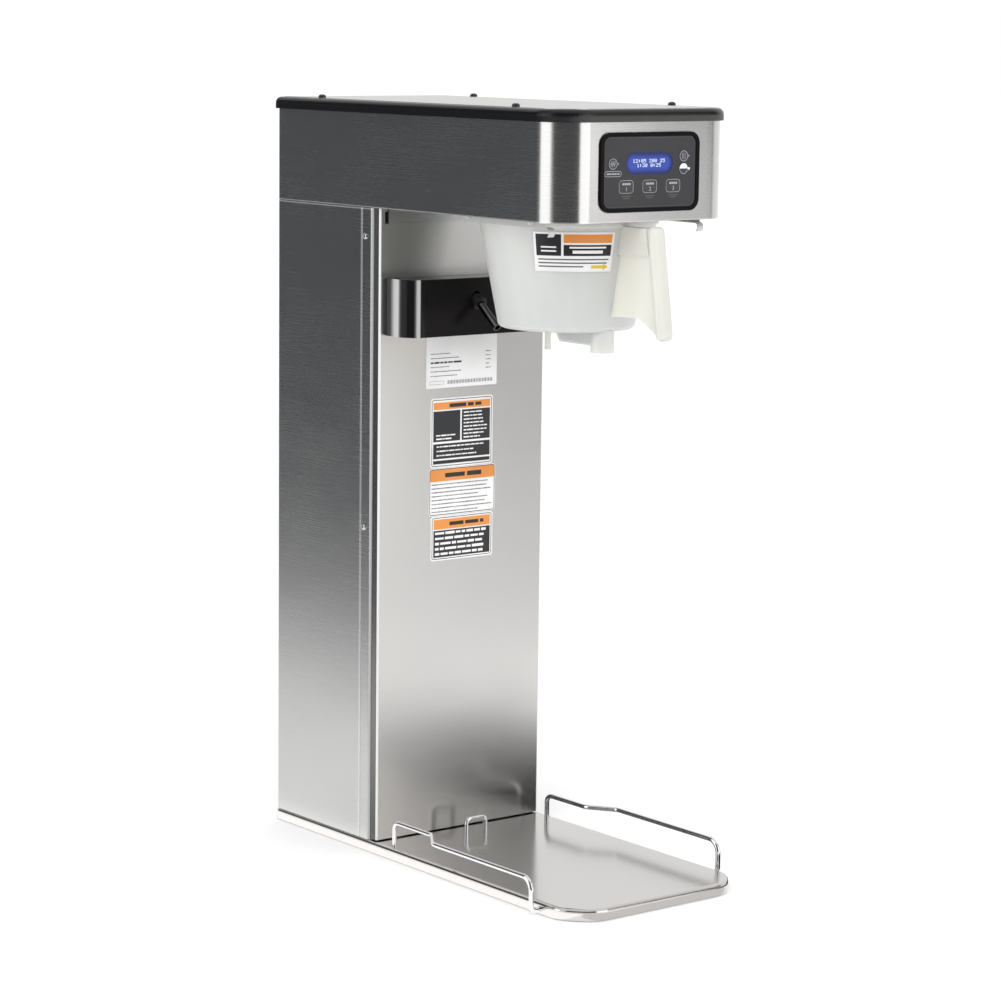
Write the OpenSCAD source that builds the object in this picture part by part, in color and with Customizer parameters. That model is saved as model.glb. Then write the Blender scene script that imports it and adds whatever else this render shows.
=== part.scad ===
// Countertop iced tea maker: a narrow stainless trunk with an overhanging hood,
// a brew funnel on rails under the hood, and a flat base on which a tall
// dispenser stands between two bent wire guides.
// Millimetres. +Z up, +X to the right seen from the front, the front faces -Y.
// The origin is the middle of the footprint, from the base's front edge to the end of the
// water inlet, on the counter.

/* [Base] */
// Distance that the base's skirt stands out past the trunk's side
base_reach = 1.4; // [0.5:0.1:6]
// Depth of the base tray
base_d = 580; // [540:1:620]
// Height of the tray's skirt
base_h = 13; // [11:0.5:18]
// Radius of the bend between deck and skirt
base_bend = 4.5; // [3:0.5:6]
// Length that each front corner is cut back along both edges
corner_cut = 30; // [20:1:45]
// Plan radius that rounds each cut corner off
corner_r = 36; // [16:1:45]
// Plan radius of the tray's rear corners
tray_rear_r = 12; // [8:1:16]
// Thickness of the tray's sheet
deck_t = 1.5; // [1:0.1:2]
// Height of the skirt's edge over the counter
foot_gap = 1; // [0.5:0.1:3]
// Diameter of a rubber foot
foot_d = 24; // [16:1:30]

/* [Wire guides] */
// Diameter of the guide wire
wire_d = 5.5; // [4:0.1:6]
// Height of the guide rail's centreline over the deck
guide_h = 28; // [22:1:45]
// Distance of the guide's rear run in from the base's side
guide_inset = 10.5; // [8:0.5:16]
// Distance that the front run stands out from the rear run
guide_flare = 22.5; // [16:0.5:30]
// Depth of the outward jog between the two runs
guide_jog = 32; // [24:1:45]
// Distance from the trunk's panel to the guide's rear leg
guide_rear_gap = 27; // [20:1:40]
// Length of the guide's rear run
guide_rear_run = 73; // [60:1:90]
// Distance from the base's front edge to the guide's front leg
guide_front_gap = 62; // [50:1:80]
// Distance between the legs of the stop loop
loop_w = 28; // [24:1:40]
// Height of the stop loop's centreline over the deck
loop_h = 18; // [14:1:26]
// Distance from the trunk's panel to the stop loop
loop_gap = 34; // [24:1:45]

/* [Trunk] */
// Width of the trunk and of the hood
trunk_w = 245.2; // [230:0.1:247]
// Depth of the trunk from its front corner to its back
trunk_d = 190.4; // [170:0.1:210]
// Height of the trunk over the deck
trunk_h = 736.6; // [700:0.1:760]
// Distance from the base's rear edge to the trunk's back
trunk_inset = 6; // [3:0.5:12]
// Thickness of the stainless sheet
sheet_t = 1.2; // [0.8:0.1:1.6]
// Depth of the corner strip that the cover leaves bare at the front
strip_d = 17.8; // [14:0.1:24]
// Distance that the front panel stands proud of the corner strips
panel_proud = 12.3; // [9:0.1:15]
// Distance that the front panel's edge stands in from the trunk's side
panel_inset = 2.3; // [2:0.1:8]
// Bend radius of the front panel's side edges
panel_bend = 2.5; // [2:0.5:8.5]
// Plan radius of the trunk's and the hood's rear corners
rear_r = 4; // [3:0.5:8]
// Distance of the upper strip screw under the trunk's top
strip_screw_top = 33; // [25:1:60]
// Distance between the two strip screws
strip_screw_pitch = 335; // [250:1:380]

/* [Hood] */
// Depth of the hood
hood_d = 527.3; // [480:0.1:560]
// Height of the hood's sheet
hood_h = 106.5; // [95:0.5:120]
// Plan radius of the hood's front corners
hood_r = 40; // [30:1:50]
// Height of the black rim on top
rim_h = 13.5; // [11:0.5:18]
// Overhang of the rim past the hood's sheet
rim_over = 4; // [2:0.5:6]
// Radius of the rim's rounded upper edge
rim_bend = 7; // [4:0.5:8]
// Width of the rim seen from above
rim_w = 10; // [9:0.5:14]
// Height of the floor's rear flange that laps the trunk's panel
flange_h = 18; // [12:1:24]
// Distance that the rear flange stands in from the front panel's edge
flange_inset = 11.3; // [9:0.1:20]

/* [Control panel] */
// Width of the control bezel
bezel_w = 138.5; // [132:0.5:150]
// Height of the control bezel
bezel_h = 85; // [80:1:92]
// Corner radius of the bezel
bezel_r = 13; // [10:1:16]
// Width of the bezel's frame
bezel_rim = 4.5; // [3:0.5:6]
// Height of the bezel's centre over the hood's lower edge
bezel_z = 53; // [48:1:58]
// Width of the display
display_w = 65; // [55:1:70]
// Height of the display
display_h = 21; // [16:1:24]
// Width of a brew key
key_w = 18; // [14:0.5:20]
// Height of a brew key
key_h = 12; // [11:0.5:15]
// Distance between neighbouring brew keys
key_pitch = 33; // [26:1:35]
// Diameter of a round key
round_key_d = 12; // [9:0.5:12.5]
// Distance of the right-hand round keys in from the membrane's side
key_column_inset = 17.5; // [14:0.5:19]
// Distance of the left-hand round key in from the membrane's side
rinse_inset = 12.5; // [10:0.5:18]
// Gap around each key
key_gap = 0.3; // [0.2:0.05:0.5]

/* [Funnel] */
// Distance from the hood's front to the funnel's axis
funnel_setback = 136.3; // [120:0.1:150]
// Outer radius of the bowl at its rim
bowl_top_r = 99.5; // [88:0.5:100]
// Outer radius of the bowl at its foot
bowl_low_r = 75.5; // [68:0.5:82]
// Height of the bowl
bowl_h = 122.5; // [105:0.5:126]
// Wall of the bowl
bowl_t = 2.5; // [2:0.1:3.5]
// Radius of the bowl's foot
bowl_fillet = 7; // [5:0.5:10]
// Distance from the bowl's axis to the spout's axis
spout_offset = 63; // [50:1:64]
// Outer diameter of the spout
spout_d = 26; // [22:0.5:27]
// Inner diameter of the spout
spout_bore = 20; // [16:0.5:20]
// Height of the spout under the bowl
spout_h = 23; // [18:0.5:28]
// Depth of the trough under the bowl
trough_h = 15.5; // [9:0.5:17]
// Distance from the bowl's axis to the top of the grip
grip_top_out = 145; // [136:0.5:156]
// Distance from the bowl's axis to the foot of the grip
grip_low_out = 161.5; // [152:0.5:176]
// Thickness of the grip
grip_d = 12.4; // [10:0.2:16]
// Width of the grip seen from the side
grip_w = 20; // [16:0.5:24]
// Distance of the grip's top under the bowl's rim
grip_drop = 3; // [2:0.5:10]
// Thickness of the handle's web
web_t = 4; // [3:0.5:6]
// Length of the grip
grip_h = 122; // [95:0.5:126]

/* [Rails] */
// Distance of the rails' upright webs out from the bowl's rim
rail_clear = 8.5; // [8:0.5:12]
// Length of a rail
rail_len = 150; // [140:1:180]
// Height of a rail under the hood's floor
rail_h = 7; // [6.5:0.5:12]
// Width of the lip that carries the funnel
lip_w = 6.5; // [5:0.5:7]
// Thickness of the rail's sheet
rail_t = 1.2; // [1:0.1:1.5]
// Thickness of the funnel's side ears
ear_t = 3; // [2.5:0.5:4]
// Running gap between the funnel and its rails
rail_gap = 0.4; // [0.3:0.1:0.8]

/* [Dilution outlet] */
// Distance that the black dilution cover's side stands in from the front panel's edge
cover_inset = 10.3; // [8:0.1:20]
// Height of the dilution cover
cover_h = 65.5; // [55:0.5:75]
// Depth of the dilution cover
cover_d = 44; // [36:1:50]
// Bend radius of the dilution cover's upright edges
cover_r = 22; // [14:1:26]
// Distance of the dilution cover under the trunk's top
cover_drop = 79.6; // [70:0.1:90]
// Outer diameter of the dilution tube
tube_d = 9.5; // [6:0.5:11]
// Inner diameter of the dilution tube
tube_bore = 7.2; // [4:0.1:8]
// Angle of the dilution tube under the horizontal
tube_tilt = 37.8; // [30:0.1:45]
// Length of the dilution tube outside its cover
tube_out = 50; // [40:1:55]
// Offset of the dilution tube from the centre plane
tube_x = -15; // [-40:1:0]

/* [Tank] */
// Width of the hot water tank
tank_w = 170; // [140:1:190]
// Depth of the hot water tank
tank_d = 150; // [120:1:156]
// Height of the hot water tank
tank_h = 370; // [300:1:400]
// Distance of the tank's lid under the trunk's top
tank_drop = 48; // [40:1:60]
// Wall of the tank
tank_t = 1.5; // [1:0.1:2.5]
// Outer diameter of the water tubes
pipe_d = 9; // [7:0.5:10]
// Bore of the water tubes
pipe_bore = 6.5; // [4:0.5:7]

/* [Connections] */
// Outer diameter of the water inlet's male thread
inlet_d = 11.1; // [10:0.1:14]
// Length of the water inlet's male thread
inlet_len = 12; // [10:0.5:16]
// Bore of the supply cord's bushing
bushing_bore = 10.4; // [8:0.1:12]
// Height of the rear connections over the deck
service_h = 62; // [50:1:90]
// Distance of the side connections from the centre plane
service_x = 60; // [45:1:80]

/* [Hidden] */

$fn = 64;
gap = 0.3;
steel = [0.75, 0.75, 0.74];
chrome = [0.86, 0.87, 0.88];
black = [0.09, 0.09, 0.1];
milky = [0.9, 0.9, 0.87, 0.8];

wire_r = wire_d / 2;
base_w = trunk_w + 2 * base_reach;
panel_w = trunk_w - 2 * panel_inset;
flange_w = panel_w - 2 * flange_inset;
cover_w = panel_w - 2 * cover_inset;
guide_rear_x = base_w / 2 - guide_inset;
rail_x = bowl_top_r + rail_clear;
inlet_nut = 5;
rear_reach = inlet_nut + inlet_len - trunk_inset;
z_skirt = foot_gap;
z_deck = foot_gap + base_h;
z_trunk = z_deck + trunk_h;
z_hood = z_trunk + hood_h;
z_rim = z_hood + rim_h;
y_rear = (base_d - rear_reach) / 2;
y_front = y_rear - base_d;
y_back = y_rear - trunk_inset;
y_post = y_back - trunk_d;
y_panel = y_post - panel_proud;
y_hood = y_back - hood_d;
y_axis = y_hood + funnel_setback;
panel_foot_gap = 1.5;
seam_gap = 0.5;
bend_full = 0.02;
bend_lap = 0.1;

// Plan outline with two front radii and two rear radii, inset evenly
module plan(w, y0, y1, r_front, r_rear, inset = 0) {
    half = w / 2 - inset;
    low = y0 + inset;
    high = y1 - inset;
    rf = max(r_front - inset, 0.2);
    rr = max(r_rear - inset, 0.2);
    translate([-half + rf, low]) square([2 * (half - rf), rf + 0.01]);
    translate([-half, low + rf]) square([2 * half, high - low - rf - rr]);
    translate([-half + rr, high - rr - 0.01]) square([2 * (half - rr), rr + 0.01]);
    for (s = [-1, 1]) {
        translate([s * (half - rf), low + rf]) circle(r = rf);
        translate([s * (half - rr), high - rr]) circle(r = rr);
    }
}

// Rounded rectangle about the origin
module round_rect(w, h, r) {
    square([w - 2 * r, h], center = true);
    square([w, h - 2 * r], center = true);
    for (x = [-1, 1], y = [-1, 1]) translate([x * (w / 2 - r), y * (h / 2 - r)]) circle(r = r);
}

// Upright plate that faces the front: outline in X and Z, thickness towards the back
module facing(x, y, z, t) {
    translate([x, y, z]) rotate([90, 0, 0]) translate([0, 0, -t]) linear_extrude(t) children();
}

function unit(v) = v / norm(v);
function turn_angle(a, b) = acos(max(-1, min(1, a * b)));

// Rod along straight runs joined by bends, whose radius is one number or a list by point
module rod(points, r, bends) {
    n = len(points);
    radius = [for (i = [0:n - 1]) is_list(bends) ? bends[i] : bends];
    dirs = [for (i = [0:n - 2]) unit(points[i + 1] - points[i])];
    cuts = [for (i = [0:n - 1])
        (i == 0 || i == n - 1) ? 0 : radius[i] * tan(turn_angle(dirs[i - 1], dirs[i]) / 2)];
    for (i = [0:n - 2]) {
        before = cuts[i] > 0 ? cuts[i] - bend_lap : 0;
        after = cuts[i + 1] > 0 ? cuts[i + 1] - bend_lap : 0;
        run = norm(points[i + 1] - points[i]) - before - after;
        along(points[i] + dirs[i] * before, dirs[i]) cylinder(r = r, h = run);
    }
    for (i = [1:n - 2]) {
        a = dirs[i - 1];
        b = dirs[i];
        start = points[i] - a * cuts[i];
        inward = unit(b - (a * b) * a);
        centre = start + inward * radius[i];
        axis = cross(a, inward);
        m = [[-inward.x, a.x, axis.x, centre.x], [-inward.y, a.y, axis.y, centre.y],
            [-inward.z, a.z, axis.z, centre.z], [0, 0, 0, 1]];
        multmatrix(m) rotate_extrude(angle = turn_angle(a, b))
            translate([radius[i], 0]) circle(r = r + bend_full, $fn = 32);
    }
}

// Places a child's +Z along a direction
module along(at, dir) {
    side = abs(dir.z) > 0.9 ? [1, 0, 0] : [0, 0, 1];
    u = unit(cross(side, dir));
    v = cross(dir, u);
    multmatrix([[u.x, v.x, dir.x, at.x], [u.y, v.y, dir.y, at.y], [u.z, v.z, dir.z, at.z], [0, 0, 0, 1]])
        children();
}

module pipe(points, d, bore, bends) {
    difference() {
        rod(points, d / 2, bends);
        rod(points, bore / 2, bends);
    }
}

// Pan-head screw whose head stands on the plane at its foot
module pan_head(d, h) {
    rotate_extrude($fn = 24) polygon([[0, 0], [d / 2, 0], [d / 2, h * 0.45], [d * 0.36, h * 0.85], [d * 0.2, h], [0, h]]);
}

// Base
tray_half = base_w / 2;
round_k = tan(22.5);

// Centre and radius of each rounding of the tray's outline
tray_corners = [for (s = [-1, 1]) each [
    [s * (tray_half - corner_r), y_front + corner_cut + corner_r * round_k, corner_r],
    [s * (tray_half - corner_cut - corner_r * round_k), y_front + corner_r, corner_r],
    [s * (tray_half - tray_rear_r), y_rear - tray_rear_r, tray_rear_r]]];

// Disc with a rounded upper edge
module puck(r, h, bend) {
    rotate_extrude($fn = 32) polygon(concat([[0, 0], [r, 0]],
        [for (a = [0:15:90]) [r - bend + bend * cos(a), h - bend + bend * sin(a)]], [[0, h]]));
}

module tray_form(inset, low, high, bend) {
    hull() for (p = tray_corners)
        translate([p.x, p.y, low]) puck(p.z - inset, high - low, bend);
}

guide_y_rear = y_panel - guide_rear_gap;
guide_y_jog = guide_y_rear - guide_rear_run;
guide_y_front = y_front + guide_front_gap;
guide_z = z_deck + guide_h;
guide_hole_z = z_skirt + wire_r + 2.6;
guide_front_x = guide_rear_x + guide_flare;
loop_y = y_panel - loop_gap;
wire_clear = 0.15;
wire_tail = 4;

module base_tray() {
    color(steel) difference() {
        tray_form(0, z_skirt, z_deck, base_bend);
        tray_form(deck_t, z_skirt - 1, z_deck - deck_t, base_bend - deck_t);
        for (s = [-1, 1]) {
            translate([s * guide_rear_x, guide_y_rear, z_deck - 2 * deck_t]) cylinder(r = wire_r + wire_clear, h = 4 * deck_t);
            translate([s * (tray_half - 2 * deck_t), guide_y_front, guide_hole_z]) rotate([0, s * 90, 0])
                cylinder(r = wire_r + wire_clear, h = 4 * deck_t);
            translate([s * loop_w / 2, loop_y, z_deck - 2 * deck_t]) cylinder(r = wire_r + wire_clear, h = 4 * deck_t);
        }
    }
}

foot_inset_x = 30;
foot_inset_front = 48;
foot_inset_rear = 34;

module rubber_feet() {
    foot_h = z_deck - deck_t;
    color(black) for (s = [-1, 1], y = [y_front + foot_inset_front, y_rear - foot_inset_rear])
        translate([s * (tray_half - foot_inset_x), y, 0])
            rotate_extrude() polygon([[0, 0], [foot_d / 2 - 2, 0], [foot_d / 2, 2], [foot_d / 2, foot_h], [0, foot_h]]);
}

guide_bends = [0, 9, 12, 12, 15, 6, 0];

// One wire guide on the left: rear leg, rear run, jog, front run, front leg and inward foot
module guide() {
    rod([[-guide_rear_x, guide_y_rear, z_deck - deck_t - wire_tail],
        [-guide_rear_x, guide_y_rear, guide_z],
        [-guide_rear_x, guide_y_jog, guide_z],
        [-guide_front_x, guide_y_jog - guide_jog, guide_z],
        [-guide_front_x, guide_y_front, guide_z],
        [-guide_front_x, guide_y_front, guide_hole_z],
        [-tray_half + deck_t + wire_tail, guide_y_front, guide_hole_z]], wire_r, guide_bends);
}

module left_guide() {
    color(chrome) guide();
}

module right_guide() {
    color(chrome) mirror([1, 0, 0]) guide();
}

module stop_loop() {
    foot_z = z_deck - deck_t - wire_tail;
    color(chrome) rod([[-loop_w / 2, loop_y, foot_z], [-loop_w / 2, loop_y, z_deck + loop_h],
        [loop_w / 2, loop_y, z_deck + loop_h], [loop_w / 2, loop_y, foot_z]], wire_r, 6);
}

clip_t = 1.2;

module wire_clips() {
    clip_z = z_deck - deck_t - clip_t;
    color(chrome) for (s = [-1, 1]) {
        translate([s * guide_rear_x, guide_y_rear, clip_z]) wire_clip();
        translate([s * loop_w / 2, loop_y, clip_z]) wire_clip();
    }
}

module wire_clip() {
    difference() {
        cylinder(d = 2.2 * wire_d, h = clip_t);
        translate([0, 0, -1]) cylinder(r = wire_r + wire_clear, h = clip_t + 2);
    }
}

// Trunk
post_r = 3;
post_leg = 20;
post_tuck = 12;
half_w = trunk_w / 2;
cover_y = y_post + strip_d;

module post_plan() {
    difference() {
        union() {
            translate([-half_w + post_r, y_post]) square([post_leg - post_r, post_r + 1]);
            translate([-half_w, y_post + post_r]) square([post_r + 1, strip_d - post_r - seam_gap]);
            translate([-half_w + post_r, y_post + post_r]) circle(r = post_r);
            translate([-half_w + sheet_t + 0.1, y_post + post_r]) square([sheet_t, strip_d - post_r + post_tuck]);
        }
        translate([-half_w + post_r, y_post + post_r]) circle(r = post_r - sheet_t);
        translate([-half_w + post_r, y_post + sheet_t]) square([post_leg, post_r + 2]);
        translate([-half_w + 2 * sheet_t + 0.1, y_post + post_r]) square([post_leg, strip_d]);
    }
}

module corner_posts() {
    color(steel) for (s = [0, 1]) mirror([s, 0, 0])
        translate([0, 0, z_deck]) linear_extrude(trunk_h - seam_gap) post_plan();
}

module trunk_cover() {
    color(steel) difference() {
        translate([0, 0, z_deck]) linear_extrude(trunk_h - seam_gap) difference() {
            plan(trunk_w, cover_y, y_back, 0.2, rear_r);
            translate([0, -10]) plan(trunk_w - 2 * sheet_t, cover_y, y_back - sheet_t + 10, 0.2, rear_r - sheet_t);
        }
        service_holes();
    }
}

z_service = z_deck + service_h;
bushing_d = 18;
switch_w = 21;
switch_h = 28;

module service_holes() {
    translate([-service_x, y_back - 5, z_service]) rotate([-90, 0, 0]) cylinder(d = inlet_d + 3, h = 10);
    translate([service_x, y_back - 5, z_service]) rotate([-90, 0, 0]) cylinder(d = bushing_d, h = 10);
    translate([-switch_w / 2, y_back - 5, z_service - switch_h / 2]) cube([switch_w, 10, switch_h]);
}

slot_w = 3.5;
tube_rise = 17;
z_tube = z_trunk - cover_drop - cover_h / 2 + tube_rise;

module front_panel() {
    color(steel) difference() {
        translate([0, 0, z_deck + panel_foot_gap]) linear_extrude(trunk_h - panel_foot_gap) difference() {
            plan(panel_w, y_panel, y_post, panel_bend, 0.2);
            translate([0, 10]) plan(panel_w - 2 * sheet_t, y_panel + sheet_t - 10, y_post, panel_bend - sheet_t, 0.2);
        }
        for (s = [-1, 1]) translate([s * (flange_w / 2 + slot_w / 2 + 0.6) - slot_w / 2, y_panel - 1, z_trunk - flange_h])
            cube([slot_w, sheet_t + 2, flange_h - 4]);
        translate([tube_x, y_panel - 1, z_tube]) rotate([-90, 0, 0]) cylinder(d = tube_d + 1, h = 5);
    }
}

screw_d = 7;
screw_h = 2.4;

module trim_screws() {
    color(steel) for (s = [-1, 1]) {
        for (z = [z_trunk - strip_screw_top, z_trunk - strip_screw_top - strip_screw_pitch])
            translate([s * half_w, y_post + 0.68 * strip_d, z]) rotate([0, s * 90, 0]) pan_head(screw_d, screw_h);
        for (z = [z_trunk - 25, z_deck + trunk_h / 2, z_deck + 20])
            translate([s * (half_w - 12), y_back, z]) rotate([-90, 0, 0]) pan_head(screw_d, screw_h);
    }
}

// Dilution outlet
z_cover = z_trunk - cover_drop - cover_h;
y_cover = y_panel - cover_d;
cover_t = 1.5;

tube_dir = [0, -cos(tube_tilt), -sin(tube_tilt)];
grommet_neck = tube_d / 2 + 1.6;
grommet_r = grommet_neck + 1.9;
tube_knee = 34;
y_tube_end = y_panel + 5;
y_hose = y_tube_end + 14;
tube_exit_z = z_tube - (cover_d - tube_knee) * tan(tube_tilt);
tube_exit = [tube_x, y_cover, tube_exit_z];
tube_knee_point = [tube_x, y_panel - tube_knee, z_tube];
tube_mouth = tube_exit + tube_dir * tube_out;

module dilution_cover() {
    color(black) difference() {
        translate([0, 0, z_cover]) linear_extrude(cover_h) plan(cover_w, y_cover, y_panel, cover_r, 0.2);
        translate([0, 0, z_cover + cover_t]) linear_extrude(cover_h - 2 * cover_t)
            translate([0, 5]) plan(cover_w - 2 * cover_t, y_cover + cover_t - 5, y_panel + 5, cover_r - cover_t, 0.2);
        along(tube_exit - tube_dir * 12, tube_dir) cylinder(r = grommet_neck, h = 24);
    }
}

module dilution_grommet() {
    color(black) difference() {
        along(tube_exit - tube_dir * 1, tube_dir) union() {
            cylinder(r = grommet_neck - 0.1, h = 11);
            translate([0, 0, 8.2]) cylinder(r = grommet_r, h = 3);
        }
        along(tube_exit - tube_dir * 12, tube_dir) cylinder(r = tube_d / 2 + 0.1, h = 30);
    }
}

module dilution_tube() {
    start = [tube_x, y_tube_end, z_tube];
    color(chrome) pipe([start, tube_knee_point, tube_mouth], tube_d, tube_bore, 12);
}

// Hood
module hood_plan(inset) {
    plan(trunk_w, y_hood, y_back, hood_r, rear_r, inset);
}

window_w = bezel_w - 2 * bezel_rim - 8;
window_h = bezel_h - 2 * bezel_rim - 8;
z_panel = z_trunk + bezel_z;

module hood_shell() {
    color(steel) difference() {
        translate([0, 0, z_trunk]) linear_extrude(hood_h) difference() {
            hood_plan(0);
            hood_plan(sheet_t);
        }
        facing(0, y_hood - 2, z_panel, 6) round_rect(window_w, window_h, 6);
    }
}

module hood_floor() {
    color(steel) difference() {
        union() {
            translate([0, 0, z_trunk]) linear_extrude(sheet_t) intersection() {
                hood_plan(sheet_t + 0.1);
                translate([-half_w, y_hood]) square([trunk_w, y_panel - gap - y_hood]);
            }
            translate([-flange_w / 2, y_panel - gap - sheet_t, z_trunk - flange_h]) cube([flange_w, sheet_t, flange_h]);
        }
        translate([0, y_axis, z_trunk - 1]) cylinder(d = spray_body + 0.4, h = 5);
    }
}

module rim_form(low, high, out, bend) {
    hull() {
        for (s = [-1, 1]) {
            translate([s * (half_w - hood_r), y_hood + hood_r, low]) rim_puck(hood_r + out, high - low, bend);
            translate([s * (half_w - rear_r), y_back - rear_r, low]) rim_puck(rear_r + out, high - low, bend);
        }
    }
}

module rim_puck(r, h, bend) {
    b = min(bend, r - 0.5);
    rotate_extrude($fn = 64) polygon(concat([[0, 0], [r, 0]],
        [for (a = [0:15:90]) [r - b + b * cos(a), h - b + b * sin(a)]], [[0, h]]));
}

module top_rim() {
    color(black) difference() {
        rim_form(z_hood, z_rim, rim_over, rim_bend);
        translate([0, 0, z_hood - 1]) linear_extrude(rim_h + 2)
            plan(trunk_w + 2 * rim_over, y_hood - rim_over, y_back + rim_over, hood_r + rim_over, rear_r + rim_over, rim_w + 6);
        translate([0, 0, z_rim - plate_t]) linear_extrude(plate_t + 1)
            plan(trunk_w + 2 * rim_over, y_hood - rim_over, y_back + rim_over, hood_r + rim_over, rear_r + rim_over, rim_w);
    }
}

plate_t = 1.6;

module top_plate() {
    color(steel) translate([0, 0, z_rim - plate_t]) linear_extrude(plate_t + 0.4)
        plan(trunk_w + 2 * rim_over, y_hood - rim_over, y_back + rim_over, hood_r + rim_over, rear_r + rim_over, rim_w + 0.2);
}

top_screw_in = 6;
top_screw_front = 92;
top_screw_back = 74;

module top_screws() {
    x = half_w + rim_over - rim_w - top_screw_in;
    color(black) for (s = [-1, 1], y = [y_hood + top_screw_front, y_back - top_screw_back])
        translate([s * x, y, z_rim + 0.4]) pan_head(9, 4);
}

// Control panel
bezel_proud = 2.5;
membrane_w = bezel_w - 2 * bezel_rim;
membrane_h = bezel_h - 2 * bezel_rim;
membrane_r = bezel_r - bezel_rim;
display_z = z_panel + 9.3;
display_x = -1;
key_z = z_panel - 15.3;
y_membrane = y_hood - 1.2;
membrane_t = 1.2;
key_proud = 0.5;
key_t = 4.5;
round_key_x = membrane_w / 2 - key_column_inset;
rinse_x = membrane_w / 2 - rinse_inset;
lamp_out = 8;
round_keys = [[-rinse_x, display_z], [round_key_x, display_z + 7], [round_key_x, display_z - 6.6]];
lamp_at = [round_key_x + lamp_out, display_z - 6.6];

module control_bezel() {
    color(black) facing(0, y_hood - bezel_proud, z_panel, bezel_proud) difference() {
        round_rect(bezel_w, bezel_h, bezel_r);
        round_rect(membrane_w, membrane_h, membrane_r);
    }
}

module control_panel() {
    color([0.2, 0.2, 0.22]) difference() {
        facing(0, y_membrane, z_panel, membrane_t) round_rect(membrane_w - 0.2, membrane_h - 0.2, membrane_r);
        facing(display_x, y_membrane - 1, display_z, 4) round_rect(display_w, display_h, display_h / 2 - 0.01);
        for (i = [-1:1]) facing(i * key_pitch, y_membrane - 1, key_z, 4) round_rect(key_w + 2 * key_gap, key_h + 2 * key_gap, 3);
        for (p = round_keys) facing(p[0], y_membrane - 1, p[1], 4) circle(d = round_key_d + 2 * key_gap);
        facing(lamp_at[0], y_membrane - 1, lamp_at[1], 4) circle(d = 3, $fn = 24);
    }
}

module display_window() {
    color([0.2, 0.25, 0.75]) facing(display_x, y_membrane + 0.3, display_z, membrane_t + 2)
        round_rect(display_w - 0.2, display_h - 0.2, display_h / 2 - 0.11);
}

module brew_key(i) {
    color([0.3, 0.3, 0.33]) facing((i - 2) * key_pitch, y_membrane - key_proud, key_z, key_t) round_rect(key_w, key_h, 2.7);
}

module round_key(i) {
    color([0.3, 0.3, 0.33]) facing(round_keys[i][0], y_membrane - key_proud, round_keys[i][1], key_t) circle(d = round_key_d);
}

module status_lamp() {
    color([0.8, 0.9, 1]) facing(lamp_at[0], y_membrane - 0.2, lamp_at[1], key_t) circle(d = 2.8, $fn = 24);
}

board_gap = 10;
board_t = 1.6;
y_board = y_hood + sheet_t + board_gap;
board_w = window_w - 14;
board_h = window_h - 12;

module control_board() {
    color([0.1, 0.35, 0.2]) {
        facing(0, y_board, z_panel, board_t) square([board_w, board_h], center = true);
        facing(0, y_board + board_t, z_panel, 7) square([board_w / 3, board_h / 3], center = true);
    }
}

post_d = 5;
post_arm = 14;

module board_posts() {
    color(chrome) for (s = [-1, 1], t = [-1, 1])
        translate([s * (window_w / 2 + 3), y_hood + sheet_t, z_panel + t * (board_h / 2 - 4)]) rotate([-90, 0, 0]) union() {
            cylinder(d = post_d, h = board_gap);
            translate([s * -post_d, 0, (board_gap + post_d) / 2]) cube([post_arm, post_d, post_d], center = true);
        }
}

// Rails and funnel
y_rail = y_axis + 53;
z_lip = z_trunk - rail_h + rail_t;
z_ear = z_lip + rail_gap;
z_cup = z_ear + ear_t;
hook_r = 5.5;
rail_flange = 11;
rail_screw_in = 20;

module rail_plan() {
    translate([rail_x, z_trunk - rail_h]) square([rail_t, rail_h]);
    translate([rail_x - lip_w, z_trunk - rail_h]) square([lip_w + rail_t, rail_t]);
    translate([rail_x, z_trunk - rail_t]) square([rail_flange, rail_t]);
}

module rail() {
    translate([0, y_rail, 0]) rotate([90, 0, 0]) linear_extrude(rail_len) rail_plan();
    // Hook that curls forwards and down from the lip's front end
    multmatrix([[0, 0, 1, rail_x - lip_w], [0, -1, 0, y_rail - rail_len], [1, 0, 0, z_lip - hook_r], [0, 0, 0, 1]])
        rotate_extrude(angle = 150) translate([hook_r - rail_t, 0]) square([rail_t, lip_w + rail_t]);
    // Stop at the rear end
    translate([rail_x - lip_w, y_rail - rail_t, z_trunk - rail_h]) cube([lip_w + rail_t, rail_t, rail_h]);
}

module rail_left() {
    color(steel) mirror([1, 0, 0]) rail();
}

module rail_right() {
    color(steel) rail();
}

rail_screw_d = 6.5;

module rail_screws() {
    color(steel) for (s = [-1, 1], y = [y_rail - rail_screw_in, y_rail - rail_len + rail_screw_in])
        translate([s * (rail_x + rail_flange / 2 + 0.5), y, z_trunk - rail_t]) rotate([180, 0, 0])
            pan_head(rail_screw_d, screw_h);
}

spray_stem = 12;
spray_d = 52;
spray_body = 44;
spray_plate = 1.6;
spray_h = 8;
z_stem = z_trunk + spray_h + 8.5;

module sprayhead() {
    color(black) translate([0, y_axis, 0]) difference() {
        union() {
            translate([0, 0, z_trunk - spray_plate]) cylinder(d = spray_d, h = spray_plate);
            translate([0, 0, z_trunk - 0.5]) cylinder(d = spray_body, h = spray_h + 0.5);
            translate([0, 0, z_trunk]) cylinder(d = spray_stem, h = z_stem - z_trunk);
        }
        translate([0, 0, z_trunk]) cylinder(d = spray_body - 6, h = spray_h - 2);
        cylinder(d = pipe_bore, h = 2 * z_stem);
        for (a = [0:60:300]) rotate([0, 0, a]) translate([14, 0, z_trunk - 3]) cylinder(d = 2.4, h = 5);
    }
}

bowl_z = z_cup - bowl_h;
wall_lean = (bowl_top_r - bowl_low_r) / bowl_h;

function bowl_r(z) = bowl_low_r + (z - bowl_z) * wall_lean;

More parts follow.
